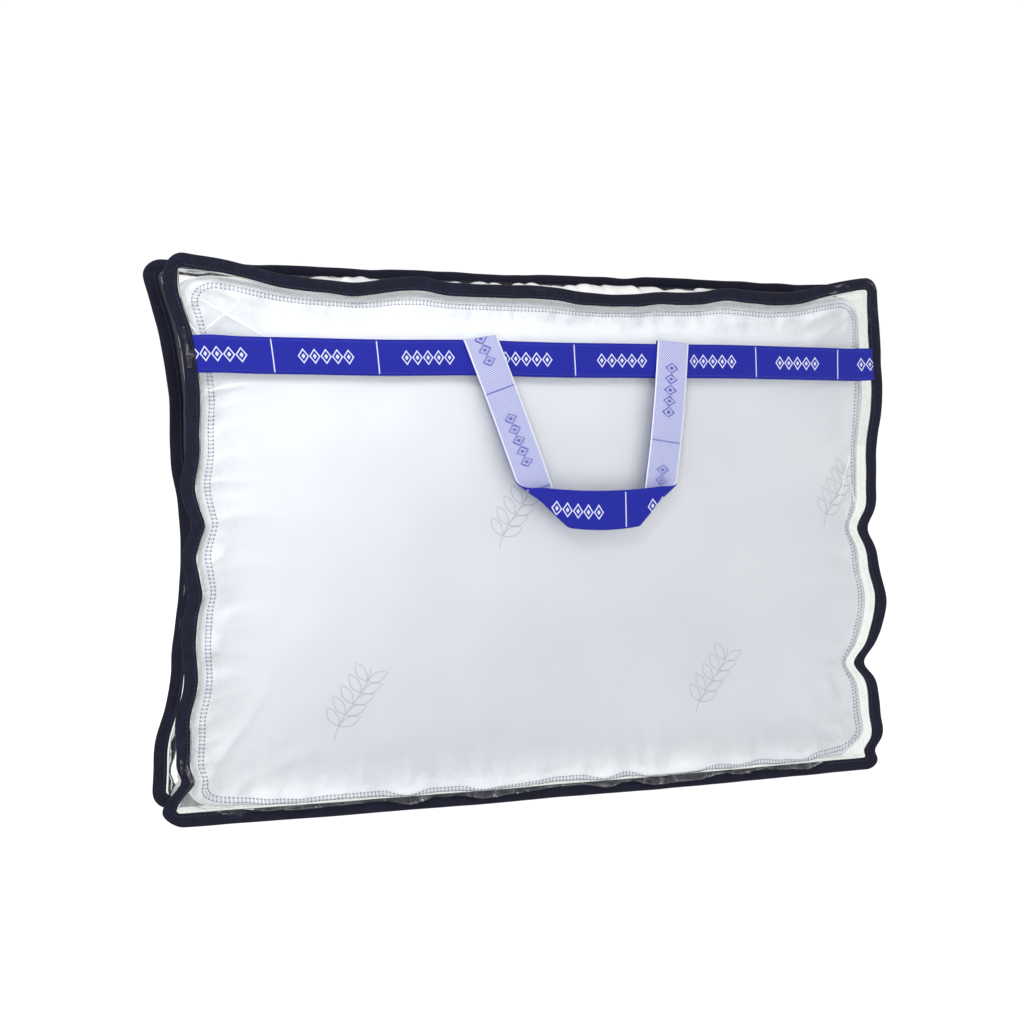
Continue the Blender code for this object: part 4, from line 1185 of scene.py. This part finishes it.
def make_band():
    end = HALF_W - BINDING_WIDTH + 1 * MM
    x = np.linspace(-end, end, 230)
    across = np.linspace(-WEBBING_WIDTH / 2, WEBBING_WIDTH / 2, 9)
    gx, gz = np.meshgrid(x, BAND_Z + across, indexing="ij")
    slow = wander(stack(gx, 0, 0 * gz), (0.06, 1, 1), 130)
    y = film_y(gx, gz, -1) - tail_lift(gx) - WEBBING / 2 - 0.9 * MM
    y -= 0.5 * MM * (slow + 1)
    gz = gz + 1.1 * MM * wander(stack(gx, 0, 0 * gx), (0.09, 1, 1), 131)
    mid = settle(stack(gx, y, gz))
    band = strap("webbing_strap", mid, x + BAND_PHASE, across, WEBBING, [BLUE_FACE, LIGHT_FACE])
    declare(band, "webbing", "webbing_band",
            flat=(2 * end, WEBBING_WIDTH), held="stretched", rests_on=["front_film"])
    return x, mid


BAND_X, BAND_MID = make_band()


def band_front(x, z_offset):
    """Point on the band's outer face."""
    k = np.interp(x, BAND_X, np.arange(len(BAND_X)))
    i = min(int(k), len(BAND_X) - 2)
    row = BAND_MID[i] * (1 - (k - i)) + BAND_MID[i + 1] * (k - i)
    at = (z_offset / WEBBING_WIDTH + 0.5) * (row.shape[0] - 1)
    j = min(int(at), row.shape[0] - 2)
    return row[j] * (1 - (at - j)) + row[j + 1] * (at - j) - np.array((0, WEBBING / 2, 0))


def sew_line(start, end, pitch=3.0 * MM):
    """Stitches on the band between two (x, offset) points."""
    length = math.dist(start, end)
    count = max(1, round(length / pitch))
    places = []
    for k in range(count):
        t0, t1 = (k + 0.35) / count, (k + 0.65) / count
        a = band_front(start[0] + (end[0] - start[0]) * t0, start[1] + (end[1] - start[1]) * t0)
        b = band_front(start[0] + (end[0] - start[0]) * t1, start[1] + (end[1] - start[1]) * t1)
        places.append(((a + b) / 2, b - a, (0, -1, 0)))
    return places


def make_band_stitching():
    reach = HALF_W - BINDING_WIDTH - 4 * MM
    for name, node, offset in (("band_seam_upper", "band_stitch_upper", 13.5 * MM),
                               ("band_seam_lower", "band_stitch_lower", -13.5 * MM)):
        places = sew_line((-reach, offset), (reach, offset))
        row = stitches(name, places, 2.2 * MM, 0.55 * MM, 0.25 * MM, BLUE_THREAD)
        declare(row, "thread", node)
    for name, node, x in (("handle_seam_left", "handle_stitch_left", LEG_TOPS[0]),
                          ("handle_seam_right", "handle_stitch_right", LEG_TOPS[1])):
        h = 11 * MM
        a, b, c, d = (x - h, -h), (x + h, -h), (x + h, h), (x - h, h)
        places = []
        for start, end in ((a, b), (b, c), (c, d), (d, a), (a, c), (b, d)):
            places += sew_line(start, end, 2.6 * MM)
        box = stitches(name, places, 2.0 * MM, 0.55 * MM, 0.25 * MM, BLUE_THREAD)
        declare(box, "thread", node)


make_band_stitching()


# ---------------------------------------------------------------- carry handle

def unit(v):
    return v / np.linalg.norm(v)


def folded_strip(length, width, turns, start, first, radii, ways):
    """A flat strip folded over at each turn, as points and nothing stretched.

    turns are the centre line's (x, z) points; ways tell to which side of the
    strip's plane each fold goes, and radii how round it is.
    """
    l, c = np.meshgrid(length, width, indexing="ij")
    origin = np.array(start, float)
    t, w = np.array(first[0], float), np.array(first[1], float)
    result = origin + l[..., None] * t + c[..., None] * w
    at = 0.0
    open_points = np.ones(l.shape, bool)
    for k, (turn, radius, way) in enumerate(zip(turns[:-1], radii, ways)):
        here = np.array((turn[0], 0, turn[1]))
        after = np.array((turns[k + 1][0], 0, turns[k + 1][1]))
        before = origin if k == 0 else np.array((turns[k - 1][0], 0, turns[k - 1][1]))
        flat_here = np.array((here[0], origin[1], here[2]))
        at += np.hypot(here[0] - before[0], here[2] - before[2])
        t_next = unit(after - here)
        axis = unit(t + t_next)
        across = unit(t - axis * np.dot(t, axis))
        m = np.array((0, way, 0.0))
        d = (l - at) * np.dot(across, t) + c * np.dot(across, w) + math.pi * radius / 2
        e = (l - at) * np.dot(axis, t) + c * np.dot(axis, w)
        base = flat_here - across * math.pi * radius / 2
        angle = np.clip(d / radius, 0, math.pi)
        bent = (base + e[..., None] * axis + (radius * np.sin(angle))[..., None] * across
                + (radius * (1 - np.cos(angle)))[..., None] * m)
        past = np.maximum(d - math.pi * radius, 0)
        bent = bent - past[..., None] * across
        use = open_points & (d > 0)
        result[use] = bent[use]
        open_points = open_points & (d > math.pi * radius)
        w = 2 * axis * np.dot(axis, w) - w
        t = t_next
        origin = np.array((here[0], origin[1] + 2 * radius * way, here[2]))
    return result


def make_handle():
    tail = 26 * MM
    top = BAND_TOP + 3.2 * MM
    turns = [(LEG_TOPS[0], top), (LEG_FEET[0], GRIP_Z), (LEG_FEET[1], GRIP_Z), (LEG_TOPS[1], top)]
    end = (LEG_TOPS[1], top - tail)
    spans = [tail] + [math.dist(a, b) for a, b in zip(turns, turns[1:])] + [tail]
    length = np.linspace(0, sum(spans), 420)
    width = np.linspace(-WEBBING_WIDTH / 2, WEBBING_WIDTH / 2, 13)
    radii = [1.9 * MM, 3.6 * MM, 3.6 * MM, 1.9 * MM]
    mid = folded_strip(length, width, turns + [end], (LEG_TOPS[0], 0, top - tail),
                       ((0, 0, 1), (-1, 0, 0)), radii, [-1, -1, 1, 1])
    # It leans on the swollen front, and its lower part sags and sways a little.
    z = mid[..., 2]
    front = film_y(0.0, np.minimum(z, BAND_TOP), -1)
    hang = smooth((BAND_TOP - z) / (120 * MM))
    mid[..., 1] += front - 1.7 * MM - hang * 2.4 * MM
    sway = wander(mid, (0.05, 1, 0.05), 140)
    mid[..., 1] -= 1.2 * MM * hang * (1 + sway)
    middle = (LEG_FEET[0] + LEG_FEET[1]) / 2
    half = (LEG_FEET[1] - LEG_FEET[0]) / 2
    sag = np.maximum(0, 1 - ((mid[..., 0] - middle) / half) ** 2)
    sag = sag * smooth((GRIP_Z + 30 * MM - z) / (30 * MM))
    mid[..., 2] -= 7.5 * MM * sag - 2 * MM * smooth((GRIP_Z + 60 * MM - z) / (60 * MM))
    handle = strap("carry_strap", mid, length + HANDLE_PHASE, width, WEBBING,
                   [BLUE_FACE, LIGHT_FACE], body=None)
    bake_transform(handle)
    declare(handle, "webbing", "handle_loop", "handle_tail_left", "handle_tail_right",
            flat=(sum(spans), WEBBING_WIDTH), held="folded", rests_on=["webbing_strap"])


make_handle()


# ---------------------------------------------------------------- floor, light, camera

def make_stage():
    corners = [(-30, -30, 0), (30, -30, 0), (30, 30, 0), (-30, 30, 0)]
    make_piece("floor", corners, [(0, 1, 2, 3)], floor_paint(), body=None)


def area_light(name, place, size, power):
    """A soft light that points at the middle of the bag."""
    lamp = bpy.data.lights.new(name, "AREA")
    lamp.shape = "RECTANGLE"
    lamp.size, lamp.size_y = size
    lamp.energy = power
    obj = bpy.data.objects.new(name, lamp)
    obj.location = place
    aim = Vector((0, 0, 0.25)) - Vector(place)
    obj.rotation_euler = aim.to_track_quat("-Z", "Y").to_euler()
    bpy.context.scene.collection.objects.link(obj)


def make_light():
    world = bpy.data.worlds.new("studio")
    bpy.context.scene.world = world
    world.use_nodes = True
    new, link = world.node_tree.nodes.new, world.node_tree.links.new
    # The camera sees a plain white backdrop; the bag stands under a dimmer sky.
    lit = world.node_tree.nodes["Background"]
    seen = new("ShaderNodeBackground")
    lit.inputs["Color"].default_value = seen.inputs["Color"].default_value = (1, 1, 1, 1)
    seen.inputs["Strength"].default_value = 1.02
    parts = new("ShaderNodeSeparateXYZ")
    link(new("ShaderNodeTexCoord").outputs["Generated"], parts.inputs[0])
    rise = new("ShaderNodeMapRange")
    rise.inputs["To Min"].default_value = 0.48
    rise.inputs["To Max"].default_value = 1.05
    link(parts.outputs["Z"], rise.inputs["Value"])
    link(rise.outputs[0], lit.inputs["Strength"])
    both = new("ShaderNodeMixShader")
    link(new("ShaderNodeLightPath").outputs["Is Camera Ray"], both.inputs[0])
    link(lit.outputs[0], both.inputs[1])
    link(seen.outputs[0], both.inputs[2])
    link(both.outputs[0], world.node_tree.nodes["World Output"].inputs[0])
    area_light("key", (-0.80, -0.95, 1.25), (0.7, 0.7), 13)
    area_light("fill", (1.9, -1.7, 1.0), (1.0, 1.6), 5)
    area_light("back", (-0.6, 1.8, 1.6), (1.4, 1.2), 6)
    bpy.context.scene.view_settings.view_transform = "Standard"


def make_camera():
    lens = bpy.data.cameras.new("camera")
    lens.lens = 60.6
    lens.sensor_width = 36
    lens.shift_y = -0.080
    camera = bpy.data.objects.new("camera", lens)
    camera.location = (-0.625, -1.506, 0.3385)
    camera.rotation_euler = (math.radians(90), 0, math.radians(-21.7))
    bpy.context.scene.collection.objects.link(camera)
    bpy.context.scene.camera = camera


make_stage()
make_light()
make_camera()

bpy.context.view_layer.update()
